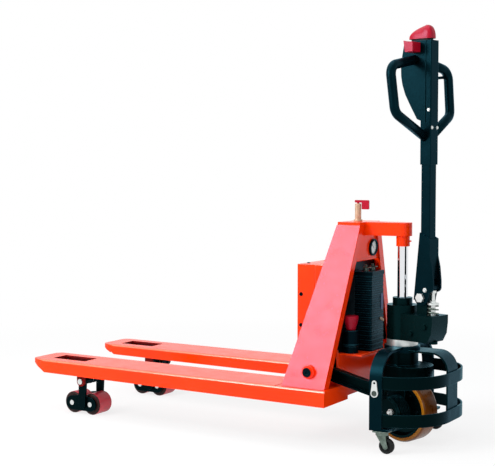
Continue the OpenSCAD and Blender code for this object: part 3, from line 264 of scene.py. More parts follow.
@dataclass(frozen=True)
class Finish:
    """A surface: its colours, gloss and small relief."""

    name: str
    colour: str
    shade: str
    roughness: float
    grain: Grain
    grain_scale: float
    grain_depth: float
    rough_spread: float = 0.06
    cloud_scale: float = 5.0
    metallic: float = 0.0
    coat: float = 0.0
    coat_roughness: float = 0.12
    specular: float = 0.5
    tint: Colour = (1.0, 1.0, 1.0)
    bump_strength: float = 0.5
    cloud_octaves: int = 5
    wear_octaves: int = 6
    wear_ratio: float = 6.0

    def relief(self, sheet: NodeSheet) -> bpy.types.NodeSocket:
        """The factor that drives the bump.

        Args:
            sheet: tree to build in.

        Returns:
            The factor output.
        """
        if self.grain is Grain.PEBBLE:
            cells = sheet.add("ShaderNodeTexVoronoi", Scale=self.grain_scale)
            sheet.join(sheet.place((1, 1, 1)), cells.inputs["Vector"])
            return cells.outputs["Distance"]
        octaves, stretch = GRAIN_NOISE[self.grain]
        return sheet.noise(self.grain_scale, octaves, stretch)

    def material(self) -> bpy.types.Material:
        """The material of this finish, built once.

        Returns:
            The node material.
        """
        made = bpy.data.materials.get(self.name)
        if made is not None:
            return made
        sheet = NodeSheet(self.name)
        surface = sheet.add(
            "ShaderNodeBsdfPrincipled", Metallic=self.metallic, Coat_Weight=self.coat,
            Coat_Roughness=self.coat_roughness, Specular_IOR_Level=self.specular,
            Specular_Tint=(*self.tint, 1),
        )
        clouds = sheet.spread(sheet.noise(self.cloud_scale, self.cloud_octaves), 0, 1)
        paint = sheet.blend(clouds, srgb(self.colour), srgb(self.shade))
        sheet.join(paint, surface.inputs["Base Color"])
        wear = sheet.noise(self.cloud_scale * self.wear_ratio, self.wear_octaves)
        low, high = self.roughness - self.rough_spread, self.roughness + self.rough_spread
        sheet.join(sheet.spread(wear, low, high), surface.inputs["Roughness"])
        bump = sheet.add("ShaderNodeBump", Strength=self.bump_strength, Distance=self.grain_depth)
        sheet.join(self.relief(sheet), bump.inputs["Height"])
        sheet.join(bump.outputs["Normal"], surface.inputs["Normal"])
        sheet.join(surface.outputs["BSDF"], sheet.output.inputs["Surface"])
        return sheet.material


# Tints of the highlights on dark and on red surfaces
TEAL = (0.2, 0.75, 0.95)
VIOLET = (0.9, 0.62, 1.0)

# In order: name, two colours that mix in clouds, roughness, grain, its cycles per metre and its depth
ORANGE = Finish(
    "orange_gloss_paint", "FF3E00", "F83600", 0.2, Grain.PEEL, 420, 0.0003, specular=0.2, tint=VIOLET,
)
ORANGE_PANEL = Finish(
    "orange_polished_panel", "FF3A00", "F43200", 0.24, Grain.PEEL, 380, 0.0002, specular=0.4, tint=VIOLET,
)
# Lighter, glossier orange on the bevels: a painted highlight along the edges
ORANGE_EDGE_HIGHLIGHT = Finish(
    "orange_painted_edge_highlight", "FF5A2A", "FF4410", 0.16, Grain.PEEL, 420, 0.0003, specular=0.7,
    cloud_scale=40,
)
# Pale pink on the top bends of the forks: a painted highlight along the bend
ORANGE_BEND_HIGHLIGHT = Finish(
    "orange_painted_bend_highlight", "FF7A5A", "FF6A48", 0.14, Grain.PEEL, 420, 0.0002, specular=0.9,
    cloud_scale=40,
)
# Dark red inside the fork channels and slots: painted shade where the channels lie in shadow
CHANNEL_SHADE = Finish(
    "dark_red_painted_channel_shade", "7C0A08", "5E0606", 0.6, Grain.CAST, 300, 0.0004, specular=0.1, cloud_scale=16,
)
BLACK = Finish(
    "black_satin_paint", "031A21", "02141A", 0.3, Grain.PEEL, 500, 0.0003, metallic=0.6, specular=0.1,
    tint=TEAL,
)
# A darker copy of the black paint: painted shade on the hoops, strap, linkage and drive parts low under the
# truck
SHADED_BLACK = Finish(
    "black_paint_painted_shade", "010C0E", "02100F", 0.3, Grain.PEEL, 480, 0.0003, metallic=0.5, specular=0.08,
    tint=TEAL,
)
# Lighter teal black on the bevels: a painted highlight along the edges
BLACK_EDGE_HIGHLIGHT = Finish(
    "black_painted_edge_highlight", "12343C", "0A262D", 0.26, Grain.PEEL, 500, 0.0003, metallic=0.6, specular=0.3,
    tint=TEAL, cloud_scale=45,
)
CAST_BLACK = Finish(
    "black_cast_skin", "021212", "041818", 0.28, Grain.CAST, 240, 0.0007, metallic=0.5, specular=0.14,
    tint=TEAL,
)
ZINC = Finish("zinc_plate", "96A69D", "6E7F76", 0.34, Grain.CAST, 380, 0.0002, metallic=0.9, cloud_scale=30)
# Darker copies of the zinc plate: painted shade on the casters, the spring, the battery terminals and the
# keeper rivets
SHADED_ZINC = Finish(
    "zinc_painted_shade", "78877E", "4A5850", 0.36, Grain.CAST, 400, 0.0003, metallic=0.85, cloud_scale=60,
)
DEEPER_SHADED_ZINC = Finish(
    "zinc_deeper_painted_shade", "56615C", "39433F", 0.42, Grain.CAST, 420, 0.0003, metallic=0.85, cloud_scale=35,
)
CHROME = Finish(
    "hard_chrome", "A8BAB7", "93A6A3", 0.16, Grain.BRUSHED, 900, 0.00005, metallic=1.0, rough_spread=0.03,
    cloud_scale=25,
)
BRASS = Finish(
    "tan_brass", "CDB49A", "B8987C", 0.38, Grain.BRUSHED, 700, 0.0001, metallic=0.45, cloud_scale=60,
)
CRIMSON_TREAD = Finish(
    "crimson_urethane", "500208", "3C0206", 0.4, Grain.STREAKED, 500, 0.0004, cloud_scale=22,
    specular=0.03,
)
ROLLER_END = Finish(
    "dark_roller_end", "2A100C", "1A0A08", 0.45, Grain.CAST, 500, 0.0003, cloud_scale=30, specular=0.2,
)
AMBER_TREAD = Finish(
    "amber_tread", "8A4A08", "5C2F05", 0.3, Grain.STREAKED, 260, 0.0006, cloud_scale=12, specular=0.3,
)
AMBER_WALL = Finish(
    "amber_sidewall", "D0861A", "B06A0E", 0.3, Grain.PEEL, 260, 0.0003, cloud_scale=14, specular=0.3,
)
RED_PLASTIC = Finish(
    "red_moulded_plastic", "AE0822", "96061C", 0.3, Grain.PEBBLE, 900, 0.0001, specular=0.22, tint=VIOLET,
    coat=0.08, coat_roughness=0.2, cloud_scale=18,
)
BLACK_PLASTIC = Finish(
    "black_moulded_plastic", "010A10", "020E15", 0.32, Grain.PEBBLE, 1100, 0.0002, metallic=0.4,
    specular=0.1, tint=TEAL, cloud_scale=14,
)
# Lighter teal on the bevels of black plastic, the battery's ribs among them: a painted highlight
PLASTIC_EDGE_HIGHLIGHT = Finish(
    "black_plastic_painted_edge_highlight", "26525E", "1A424D", 0.28, Grain.PEBBLE, 1100, 0.0002, metallic=0.5,
    specular=0.3, tint=TEAL, cloud_scale=40,
)
RUBBER = Finish(
    "grey_black_rubber", "0E1111", "161A1A", 0.6, Grain.STREAKED, 600, 0.0004, specular=0.2,
    cloud_scale=40,
)
DIAL = Finish(
    "pale_dial", "8FBABB", "7BA9AB", 0.3, Grain.PEEL, 300, 0.0001, coat=0.6, coat_roughness=0.05,
    cloud_scale=40,
)
BLUE_LABEL = Finish("blue_strip", "1E4A86", "183C6E", 0.45, Grain.PEEL, 600, 0.0001, cloud_scale=50)

# A further surface, and the test of the faces that take it
Accent = tuple[Finish, Callable[[Vector, Vector], bool]]

# The lighter copy of a surface that its bevels take: a painted highlight along its edges
EDGE_HIGHLIGHTS = {
    ORANGE.name: ORANGE_EDGE_HIGHLIGHT,
    ORANGE_PANEL.name: ORANGE_EDGE_HIGHLIGHT,
    BLACK.name: BLACK_EDGE_HIGHLIGHT,
    SHADED_BLACK.name: BLACK_EDGE_HIGHLIGHT,
    BLACK_PLASTIC.name: PLASTIC_EDGE_HIGHLIGHT,
}


# Meshes


def linked(name: str, mesh: bpy.types.Mesh) -> bpy.types.Object:
    """Puts a mesh in the scene at the origin.

    Args:
        name: the object's name.
        mesh: its mesh.

    Returns:
        The object.
    """
    obj = bpy.data.objects.new(name, mesh)
    bpy.context.scene.collection.objects.link(obj)
    return obj


def from_bmesh(name: str, bm: bmesh.types.BMesh) -> bpy.types.Object:
    """Turns an edit mesh into an object and frees it.

    Args:
        name: the object's name.
        bm: the edit mesh, in the frame.

    Returns:
        The object.
    """
    bmesh.ops.recalc_face_normals(bm, faces=bm.faces[:])
    mesh = bpy.data.meshes.new(name)
    bm.to_mesh(mesh)
    bm.free()
    return linked(name, mesh)


def settled(obj: bpy.types.Object) -> bpy.types.Object:
    """Replaces a mesh by what its modifiers make of it, and removes them.

    Args:
        obj: object with live modifiers.

    Returns:
        The same object.
    """
    bpy.context.view_layer.update()
    graph = bpy.context.evaluated_depsgraph_get()
    shown = obj.evaluated_get(graph)
    mesh = bpy.data.meshes.new_from_object(shown, preserve_all_data_layers=True, depsgraph=graph)
    mesh.name = obj.name
    obj.modifiers.clear()
    obj.data = mesh
    return obj


def rounded(obj: bpy.types.Object, width: float, segments: int = 2, angle: float = 32.0) -> bpy.types.Object:
    """Bevels the sharp edges and shades the rest smooth.

    Args:
        obj: object to round; its second material, if it has one, goes on the bevels.
        width: bevel width in millimetres.
        segments: faces across a bevel.
        angle: least angle of a sharp edge, in degrees.

    Returns:
        The same object.
    """
    obj.data.shade_smooth()
    bevel = obj.modifiers.new("edges", "BEVEL")
    bevel.width = width * MM
    bevel.segments = segments
    bevel.limit_method = "ANGLE"
    bevel.angle_limit = math.radians(angle)
    bevel.material = len(obj.data.materials) - 1
    flats = obj.modifiers.new("flats", "WEIGHTED_NORMAL")
    flats.mode = "FACE_AREA"
    flats.weight = 100
    flats.keep_sharp = True
    return settled(obj)


def strips(bm: bmesh.types.BMesh, rings: Sequence[Sequence[bmesh.types.BMVert]]) -> None:
    """Joins closed rings of as many corners, each to the next, by strips of faces.

    Args:
        bm: mesh that holds the corners.
        rings: the rings in order.
    """
    for a, b in zip(rings, rings[1:]):
        for k in range(len(a)):
            n = (k + 1) % len(a)
            bm.faces.new((a[k], a[n], b[n], b[k]))


def swept(bm: bmesh.types.BMesh, path: Sequence[Vector], radius: float, sides: int, up: Vector) -> None:
    """Adds a closed tube along a path.

    Args:
        bm: mesh that takes the tube.
        path: points of its centre line.
        radius: in metres.
        sides: faces round it.
        up: direction that no part of the path follows.
    """
    turns = [2 * math.pi * k / sides for k in range(sides)]
    rings = []
    for i, point in enumerate(path):
        way = (path[min(i + 1, len(path) - 1)] - path[max(i - 1, 0)]).normalized()
        u = (up - up.dot(way) * way).normalized()
        v = way.cross(u)
        rings.append([bm.verts.new(point + radius * (math.cos(t) * u + math.sin(t) * v)) for t in turns])
    strips(bm, rings)
    bm.faces.new(rings[0][::-1])
    bm.faces.new(rings[-1])


def bent(points: Sequence[Vector], radius: float, steps: int) -> list[Vector]:
    """Rounds the inner corners of a polyline.

    Args:
        points: its corners.
        radius: bend radius in metres.
        steps: segments in a bend.

    Returns:
        Points of the rounded line.
    """
    line = [points[0]]
    for a, b, c in zip(points, points[1:], points[2:]):
        u, v = (a - b).normalized(), (c - b).normalized()
        half = u.angle(v) / 2
        middle = b + (u + v).normalized() * radius / math.sin(half)
        first = (b + u * radius / math.tan(half)) - middle
        axis = first.cross(u)
        for i in range(steps + 1):
            turn = (math.pi - 2 * half) * i / steps
            line.append(middle + Matrix.Rotation(-turn, 3, axis) @ first)
    line.append(points[-1])
    return line


def dome(
    outline: Sequence[Vector], apex: Vector, lip: float, rings: int, front: Vector, bends: Sequence[float],
) -> bmesh.types.BMesh:
    """A cap, open beneath, that rises from an outline to an apex in round curves.

    Args:
        outline: corners of its level foot, in order.
        apex: its highest point.
        lip: height of the upright rim above the foot, in metres.
        rings: steps from the rim to the apex.
        front: level direction in which the cap falls away in a flatter slope.
        bends: power of the curve all round, and what is added to it towards the front.

    Returns:
        The cap.
    """
    bm = bmesh.new()
    foot = outline[0].z
    loops = [[bm.verts.new(p) for p in outline]]
    for i in range(rings):
        rise = math.sin(math.pi / 2 * i / rings)
        height = foot + lip + (apex.z - foot - lip) * rise
        loop = []
        for p in outline:
            along = (p - apex).to_2d()
            bend = bends[0] + bends[1] * max(0.0, along.normalized().dot(front))
            share = math.cos(math.pi / 2 * i / rings) ** bend
            loop.append(bm.verts.new((apex.x + along.x * share, apex.y + along.y * share, height)))
        loops.append(loop)
    strips(bm, loops)
    top = bm.verts.new(apex)
    for k, corner in enumerate(loops[-1]):
        bm.faces.new((corner, loops[-1][(k + 1) % len(outline)], top))
    return bm


def middle_of(node: str) -> Vector:
    """Middle of a CAD node's box."""
    low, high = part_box(node)
    return (low + high) / 2


def plate(middle: Sequence[float], size: Sequence[float]) -> Matrix:
    """Takes a unit cube to a box.

    Args:
        middle: its middle in millimetres.
        size: its lengths in millimetres.

    Returns:
        The matrix in metres.
    """
    return Matrix.Translation(Vector(middle) * MM) @ Matrix.Diagonal((*(Vector(size) * MM), 1))


def blocks(name: str, places: Iterable[Matrix]) -> bpy.types.Object:
    """Boxes as one mesh.

    Args:
        name: the piece's name.
        places: matrices that take a unit cube to each box.

    Returns:
        The piece, without a material.
    """
    bm = bmesh.new()
    for place in places:
        bmesh.ops.create_cube(bm, size=1.0, matrix=place)
    return from_bmesh(name, bm)


# Fasteners and the spring


@dataclass
class ShapeTree:
    """Geometry Nodes with named inputs that end in Realize Instances and Set Material."""

    name: str
    finish: Finish
    tree: bpy.types.NodeTree = field(init=False)
    inputs: dict[str, str] = field(init=False)

    def start(self, sizes: Sequence[str], counts: Sequence[str] = ()) -> bpy.types.Node:
        """Makes the tree and its named inputs.

        Args:
            sizes: names of the inputs that are lengths or shares.
            counts: names of the inputs that are whole numbers.

        Returns:
            The node that gives the inputs.
        """
        self.tree = bpy.data.node_groups.new(self.name, "GeometryNodeTree")
        face = self.tree.interface
        face.new_socket("Geometry", in_out="INPUT", socket_type="NodeSocketGeometry")
        kinds = {name: "NodeSocketFloat" for name in sizes} | {name: "NodeSocketInt" for name in counts}
        self.inputs = {
            name: face.new_socket(name, in_out="INPUT", socket_type=kind).identifier
            for name, kind in kinds.items()
        }
        face.new_socket("Geometry", in_out="OUTPUT", socket_type="NodeSocketGeometry")
        return self.tree.nodes.new("NodeGroupInput")

    def end(self, shape: bpy.types.NodeSocket) -> None:
        """Ends the tree in one painted mesh.

        Args:
            shape: output that gives the shape.
        """
        add, join = self.tree.nodes.new, self.tree.links.new
        real, paint, outlet = (
            add("GeometryNodeRealizeInstances"), add("GeometryNodeSetMaterial"), add("NodeGroupOutput"),
        )
        paint.inputs["Material"].default_value = self.finish.material()
        join(shape, real.inputs["Geometry"])
        join(real.outputs["Geometry"], paint.inputs["Geometry"])
        join(paint.outputs["Geometry"], outlet.inputs["Geometry"])

    def run(self, obj: bpy.types.Object, values: dict[str, float]) -> bpy.types.Object:
        """Runs the tree on an object and keeps the result as its plain mesh.

        Args:
            obj: object whose mesh the tree takes.
            values: value of each named input.

        Returns:
            The same object.
        """
        nodes = obj.modifiers.new("shape", "NODES")
        nodes.node_group = self.tree
        for key, value in values.items():
            nodes[self.inputs[key]] = value
        return settled(obj)


class Head(Enum):
    """Shape of a fastener's head, as the sides of its outline."""

    HEX = 6
    ROUND = 20


@dataclass
class FastenerTree(ShapeTree):
    """Sets one fastener on every point, facing the point's own way."""

    head: Head
    radius: float
    height: float
    washer: float
    washer_share: float = 0.25
    edge_share: float = 0.15

    def __post_init__(self) -> None:
        """Builds the node tree."""
        sizes = ("Head Radius", "Head Height", "Washer Radius", "Washer Height")
        inlet = self.start(sizes, ("Sides", "Washer Sides"))
        add, join = self.tree.nodes.new, self.tree.links.new
        both = add("GeometryNodeJoinGeometry")
        join(self.disc(inlet, "Washer Radius", "Washer Height", "Washer Sides"), both.inputs["Geometry"])
        join(self.disc(inlet, "Head Radius", "Head Height", "Sides"), both.inputs["Geometry"])
        facing = add("GeometryNodeInputNamedAttribute")
        facing.data_type = "FLOAT_VECTOR"
        facing.inputs["Name"].default_value = "facing"
        align = add("FunctionNodeAlignRotationToVector")
        align.axis = "Z"
        join(facing.outputs["Attribute"], align.inputs["Vector"])
        points = add("GeometryNodeInstanceOnPoints")
        join(inlet.outputs["Geometry"], points.inputs["Points"])
        join(both.outputs["Geometry"], points.inputs["Instance"])
        join(align.outputs["Rotation"], points.inputs["Rotation"])
        self.end(points.outputs["Instances"])

    def disc(self, inlet: bpy.types.Node, radius: str, height: str, sides: str) -> bpy.types.NodeSocket:
        """A short cylinder standing on z = 0.

        Args:
            inlet: the node that gives the inputs.
            radius: name of the input for its radius.
            height: name of the input for its height.
            sides: name of the input for its sides.

        Returns:
            The geometry output.
        """
        add, join = self.tree.nodes.new, self.tree.links.new
        body = add("GeometryNodeMeshCylinder")
        join(inlet.outputs[sides], body.inputs["Vertices"])
        join(inlet.outputs[radius], body.inputs["Radius"])
        join(inlet.outputs[height], body.inputs["Depth"])
        half = add("ShaderNodeMath")
        half.operation = "MULTIPLY"
        half.inputs[1].default_value = 0.5
        join(inlet.outputs[height], half.inputs[0])
        lift = add("ShaderNodeCombineXYZ")
        join(half.outputs[0], lift.inputs["Z"])
        move = add("GeometryNodeTransform")
        join(body.outputs["Mesh"], move.inputs["Geometry"])
        join(lift.outputs["Vector"], move.inputs["Translation"])
        return move.outputs["Geometry"]

    def set_on(self, name: str, places: Iterable[tuple[Vector, Vector]]) -> bpy.types.Object:
        """Makes the fasteners.

        Args:
            name: the piece's name.
            places: foot and outward direction of each fastener, in the frame.

        Returns:
            One plain mesh with all of them.
        """
        spots = list(places)
        mesh = bpy.data.meshes.new(name)
        mesh.from_pydata([tuple(foot) for foot, _ in spots], [], [])
        ways = mesh.attributes.new("facing", "FLOAT_VECTOR", "POINT")
        ways.data.foreach_set("vector", [share for _, way in spots for share in way])
        obj = self.run(linked(name, mesh), {
            "Head Radius": self.radius * MM,
            "Head Height": self.height * MM,
            "Washer Radius": self.washer * MM,
            "Washer Height": self.washer_share * self.height * MM,
            "Sides": self.head.value,
            "Washer Sides": Head.ROUND.value,
        })
        return rounded(obj, self.edge_share * self.height, 2)


@dataclass
class CoilTree(ShapeTree):
    """Winds a wire into a spring along +Z."""

    radius: float
    height: float
    turns: float
    wire: float
    points_in_turn: int = 40
    wire_sides: int = 12

    def __post_init__(self) -> None:
        """Builds the node tree."""
        inlet = self.start(("Radius", "Height", "Turns", "Wire"))
        add, join = self.tree.nodes.new, self.tree.links.new
        spiral, ring = add("GeometryNodeCurveSpiral"), add("GeometryNodeCurvePrimitiveCircle")
        spiral.inputs["Resolution"].default_value = self.points_in_turn
        ring.inputs["Resolution"].default_value = self.wire_sides
        join(inlet.outputs["Radius"], spiral.inputs["Start Radius"])
        join(inlet.outputs["Radius"], spiral.inputs["End Radius"])
        join(inlet.outputs["Height"], spiral.inputs["Height"])
        join(inlet.outputs["Turns"], spiral.inputs["Rotations"])
        join(inlet.outputs["Wire"], ring.inputs["Radius"])
        tube = add("GeometryNodeCurveToMesh")
        tube.inputs["Fill Caps"].default_value = True
        join(spiral.outputs["Curve"], tube.inputs["Curve"])
        join(ring.outputs["Curve"], tube.inputs["Profile Curve"])
        self.end(tube.outputs["Mesh"])

    def wind(self, name: str, foot: Vector) -> bpy.types.Object:
        """Makes the spring.

        Args:
            name: the piece's name.
            foot: middle of its lower end.

        Returns:
            One plain mesh.
        """
        half = self.wire / 2 * MM
        obj = self.run(linked(name, bpy.data.meshes.new(name)), {
            "Radius": self.radius * MM,
            "Height": (self.height - self.wire) * MM,
            "Turns": self.turns,
            "Wire": half,
        })
        obj.data.transform(Matrix.Translation(foot + Vector((0, 0, half))))
        obj.data.shade_smooth()
        return obj


# Sub-assemblies


@dataclass
class SubAssembly(ABC):
    """A group of nodes and pieces that is dressed together.

    Lengths are in millimetres and angles in degrees.
    """

    slots: dict[str, str] = field(default_factory=lambda: {
        part["node"]: part["material_slot"] for part in frame["record"]["subparts"]
    })
    owners: dict[str, str] = field(default_factory=lambda: {
        node: body for body, nodes in frame["record"]["behaviour"]["bodies"].items() for node in nodes
    })
    pieces: dict[str, str] = field(default_factory=dict)

    @abstractmethod
    def build(self) -> None:
        """Builds the group's meshes and dresses them."""

    def dress(
        self, node: str, finish: Finish, width: float, segments: int = 2, accents: Sequence[Accent] = (),
    ) -> bpy.types.Object:
        """Replaces a node by a copy with softened edges and a finish.

        Args:
            node: the CAD node.
            finish: its surface.
            width: bevel width in millimetres.
            segments: faces across a bevel.
            accents: further surfaces, each with a test of the faces that take it.

        Returns:
            The piece.
        """
        bm = bmesh.new()
        bm.from_mesh(frame["nodes"][node].data)
        bmesh.ops.remove_doubles(bm, verts=bm.verts[:], dist=SAME_PLACE)
        bmesh.ops.dissolve_limit(
            bm, angle_limit=FLAT_ANGLE, verts=bm.verts[:], edges=bm.edges[:], delimit={"NORMAL"},
        )
        mesh = bpy.data.meshes.new(node + "_dressed")
        bm.to_mesh(mesh)
        bm.free()
        obj = linked(node + "_dressed", mesh)
        obj.data.materials.append(finish.material())
        # The bevels take a lighter copy of the finish, a painted highlight
        if finish.name in EDGE_HIGHLIGHTS:
            obj.data.materials.append(EDGE_HIGHLIGHTS[finish.name].material())
        rounded(obj, width, segments)
        for accent, takes in accents:
            obj.data.materials.append(accent.material())
            for face in obj.data.polygons:
                if takes(face.center, face.normal):
                    face.material_index = len(obj.data.materials) - 1
        return self.stand_for(obj, node)

    def stand_for(self, obj: bpy.types.Object, node: str) -> bpy.types.Object:
        """Hides a node and makes a piece ride on the node's body in its place.

        Args:
            obj: the piece.
            node: the CAD node that it stands for.

        Returns:
            The piece.
        """
        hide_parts(node)
        return self.carry(obj, self.owners[node], self.slots[node])

    def trim(self, obj: bpy.types.Object, finish: Finish, like: str, width: float = 0.0) -> bpy.types.Object:
        """Paints a small extra piece and fixes it to a node's body.

        Args:
            obj: the piece.
            finish: its surface.
            like: the CAD node whose body it shares.
            width: bevel width in millimetres.

        Returns:
            The piece.
        """
        obj.data.materials.append(finish.material())
        if width:
            rounded(obj, width)
        return self.carry(obj, self.owners[like], self.slots[like])

    def carry(self, obj: bpy.types.Object, body: str, slot: str) -> bpy.types.Object:
        """Makes a piece ride on a body, and notes it.

        Args:
            obj: the piece.
            body: name of the body.
            slot: the record's material slot; not used.

        Returns:
            The piece.
        """
        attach(obj, body)
        self.pieces[obj.name] = body
        return obj


@dataclass
class ForkFrame(SubAssembly):
    """Forks, bridge, cross plate, side plates and lift arm."""

    slot_half: float = 37.0
    wall: float = 5.4
    roof: float = 5.0
    bend_width: float = 10.0
    bend_depth: float = 11.0
    nose_length: float = 36.0
    heel_length: float = 24.0
    pin_socket: float = 10.5
    # Shares of a face's direction: upwards on the bends, along an axis, and across on the pin's flat end
    bend_slopes: tuple[float, float] = (0.3, 0.93)
    facing: float = 0.5
    pin_flat: float = 0.97

    def build(self) -> None:
        """Dresses the welded frame."""
        for node in ("fork_left", "fork_right"):
            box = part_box(node)
            # Each fork takes painted shade inside its channel and a painted highlight on its top bends
            self.dress(node, ORANGE, 1.2, 3, (
                (CHANNEL_SHADE, partial(self.in_channel, box)), (ORANGE_BEND_HIGHLIGHT, partial(self.on_bend, box)),
            ))
        for node in ("bridge", "cross_plate", "gauge_panel"):
            self.dress(node, ORANGE, 1.0)
        self.dress("side_plates", ORANGE_PANEL, 1.6, 3)
        self.dress("lift_arm", ORANGE, 3.0, 3)
        self.dress("lift_rod", CHROME, 0.6)
        on_rim = partial(self.on_pin_rim, middle_of("rocker_pins"))
        self.dress("rocker_pins", BLACK, 2.0, 3, ((ORANGE, on_rim),))
        self.dress("roller_pivots", ZINC, 0.8)

    def on_bend(self, box: tuple[Vector, Vector], place: Vector, normal: Vector) -> bool:
        """Whether a face of a fork lies on the bend along its top, which takes a painted highlight.

        Args:
            box: the fork's lowest and highest corners.
            place: the face's middle.
            normal: its direction.

        Returns:
            True on the bend.
        """
        low, high = box
        inset = min(place.y - low.y, high.y - place.y)
        beside = inset < self.bend_width * MM and place.z > high.z - self.bend_depth * MM
        steep, flat = self.bend_slopes
        return beside and steep < normal.z < flat

    def on_pin_rim(self, axis: Vector, place: Vector, normal: Vector) -> bool:
        """Whether a face of a rocker pin lies on the painted rim of its head.

        Args:
            axis: a point on the pins' axis.
            place: the face's middle.
            normal: its direction.

        Returns:
            True on the rim, outside the flat end and its socket.
        """
        away = place - axis
        return math.hypot(away.x, away.z) > self.pin_socket * MM and abs(normal.y) < self.pin_flat

    def in_channel(self, box: tuple[Vector, Vector], place: Vector, normal: Vector) -> bool:
        """Whether a face of a fork lies inside its channel, which takes the dark red painted shade.

        Args:
            box: the fork's lowest and highest corners.
            place: the face's middle.
            normal: its direction.

        Returns:
            True on the walls and the roof of the channel and in the slots, and not on the rear end.
        """
        low, high = box
        upright = abs(normal.z) < self.facing
        if place.x > high.x - self.heel_length * MM and normal.x > self.facing:
            return False
        if upright and abs(place.y - (low.y + high.y) / 2) < self.slot_half * MM:
            return True
        inset = min(place.y - low.y, high.y - place.y)
        inside = inset > self.wall * MM and place.z < high.z - self.roof * MM
        behind_nose = place.x > low.x + self.nose_length * MM
        return inside and behind_nose and (normal.z < -self.facing or upright)


@dataclass
class Electrics(SubAssembly):
    """Electrics box, battery, charging plug, gauge and key."""

    screw_inset: float = 13.0
    screw_heights: tuple[float, ...] = (57.0, 167.0, 265.0)
    top_screw_inset: float = 14.0
    top_screw_y: float = 60.0
    dial: Point = (-118.6, 39.0, 593.8)
    dial_lean: float = 3.42
    dial_radius: float = 19.0
    dial_sweep: float = 240.0
    dial_steps: int = 10
    mark_section: tuple[float, float] = (0.5, 1.1)
    mark_long: float = 5.0
    mark_short: float = 3.0
    long_every: int = 5
    needle_turn: float = 48.0
    needle: Point = (0.0, 0.0, 6.0)
    needle_size: Point = (0.9, 1.4, 20.0)
    label: Point = (-74.6, 11.0, 427.0)
    label_size: Point = (1.0, 16.0, 50.0)
    lug: Point = (-73.8, 0.0, 375.0)
    lug_size: Point = (2.6, 6.0, 8.0)
    lug_pitch: float = 9.0
    lug_drop: float = 3.0
    lugs: int = 3

    def build(self) -> None:
        """Dresses the electric pieces."""
        for node in ("box_body", "box_cover"):
            self.dress(node, ORANGE, 1.4, 3)
        self.dress("battery_case", BLACK_PLASTIC, 0.6)
        self.dress("battery_terminals", DEEPER_SHADED_ZINC, 0.6)
        self.dress("plug_socket", BLACK_PLASTIC, 1.0)
        self.dress("plug_grip", RED_PLASTIC, 1.5)
        self.dress("key_barrel", BRASS, 0.6)
        self.dress("key", RED_PLASTIC, 0.7)
        self.dress("gauge_bezel", BLACK_PLASTIC, 0.5)
        self.dress("gauge_face", DIAL, 0.4)
        # The inner cover is a black sheet across the gap above the battery: it stands in for the shade
        # inside the truck there
        self.dress("inner_cover", BLACK_PLASTIC, 0.3)
        self.dial_marks()
        self.battery_end()
        self.cover_screws()

    def cover_screws(self) -> None:
        """Adds the screws on both sides and the top of the box."""
        screws = FastenerTree("cover_screw", BLACK_PLASTIC, Head.ROUND, radius=4.5, height=2.4, washer=6.5)
        low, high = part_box("box_cover")
        spots = [
            (Vector((low.x + self.screw_inset * MM, y, low.z + z * MM)), Vector((0, way, 0)))
            for way, y in ((-1, low.y), (1, high.y)) for z in self.screw_heights
        ]
        top_x, top_y = low.x + self.top_screw_inset * MM, self.top_screw_y * MM
        spots += [(Vector((top_x, way * top_y, high.z)), Vector((0, 0, 1))) for way in (-1, 1)]
        self.carry(screws.set_on("box_cover_screws", spots), "chassis", "black_plastic")

    def dial_marks(self) -> None:
        """Adds the scale and the needle of the gauge."""
        seat = Matrix.Translation(truck(*self.dial)) @ Matrix.Rotation(math.radians(self.dial_lean), 4, "Y")
        marks = []
        for i in range(self.dial_steps + 1):
            angle = self.dial_sweep * i / self.dial_steps - self.dial_sweep / 2
            turn = Matrix.Rotation(math.radians(angle), 4, "X")
            long = self.mark_short if i % self.long_every else self.mark_long
            mark = plate((0, 0, self.dial_radius - long / 2), (*self.mark_section, long))
            marks.append(seat @ turn @ mark)
        turn = Matrix.Rotation(math.radians(self.needle_turn), 4, "X")
        marks.append(seat @ turn @ plate(self.needle, self.needle_size))
        self.trim(blocks("gauge_marks", marks), BLACK_PLASTIC, "gauge_bezel")

    def battery_end(self) -> None:
        """Adds the label strip and the brass lugs on the battery's rear."""
        seat = Matrix.Translation(truck(0, 0, 0))
        strip = blocks("battery_label", [seat @ plate(self.label, self.label_size)])
        self.trim(strip, BLUE_LABEL, "battery_case", 0.2)
        x, y, z = self.lug
        middles = [(x, y + self.lug_pitch * i, z - self.lug_drop * i) for i in range(self.lugs)]
        lugs = blocks("battery_lugs", [seat @ plate(middle, self.lug_size) for middle in middles])
        self.trim(lugs, BRASS, "key_barrel", 0.4)


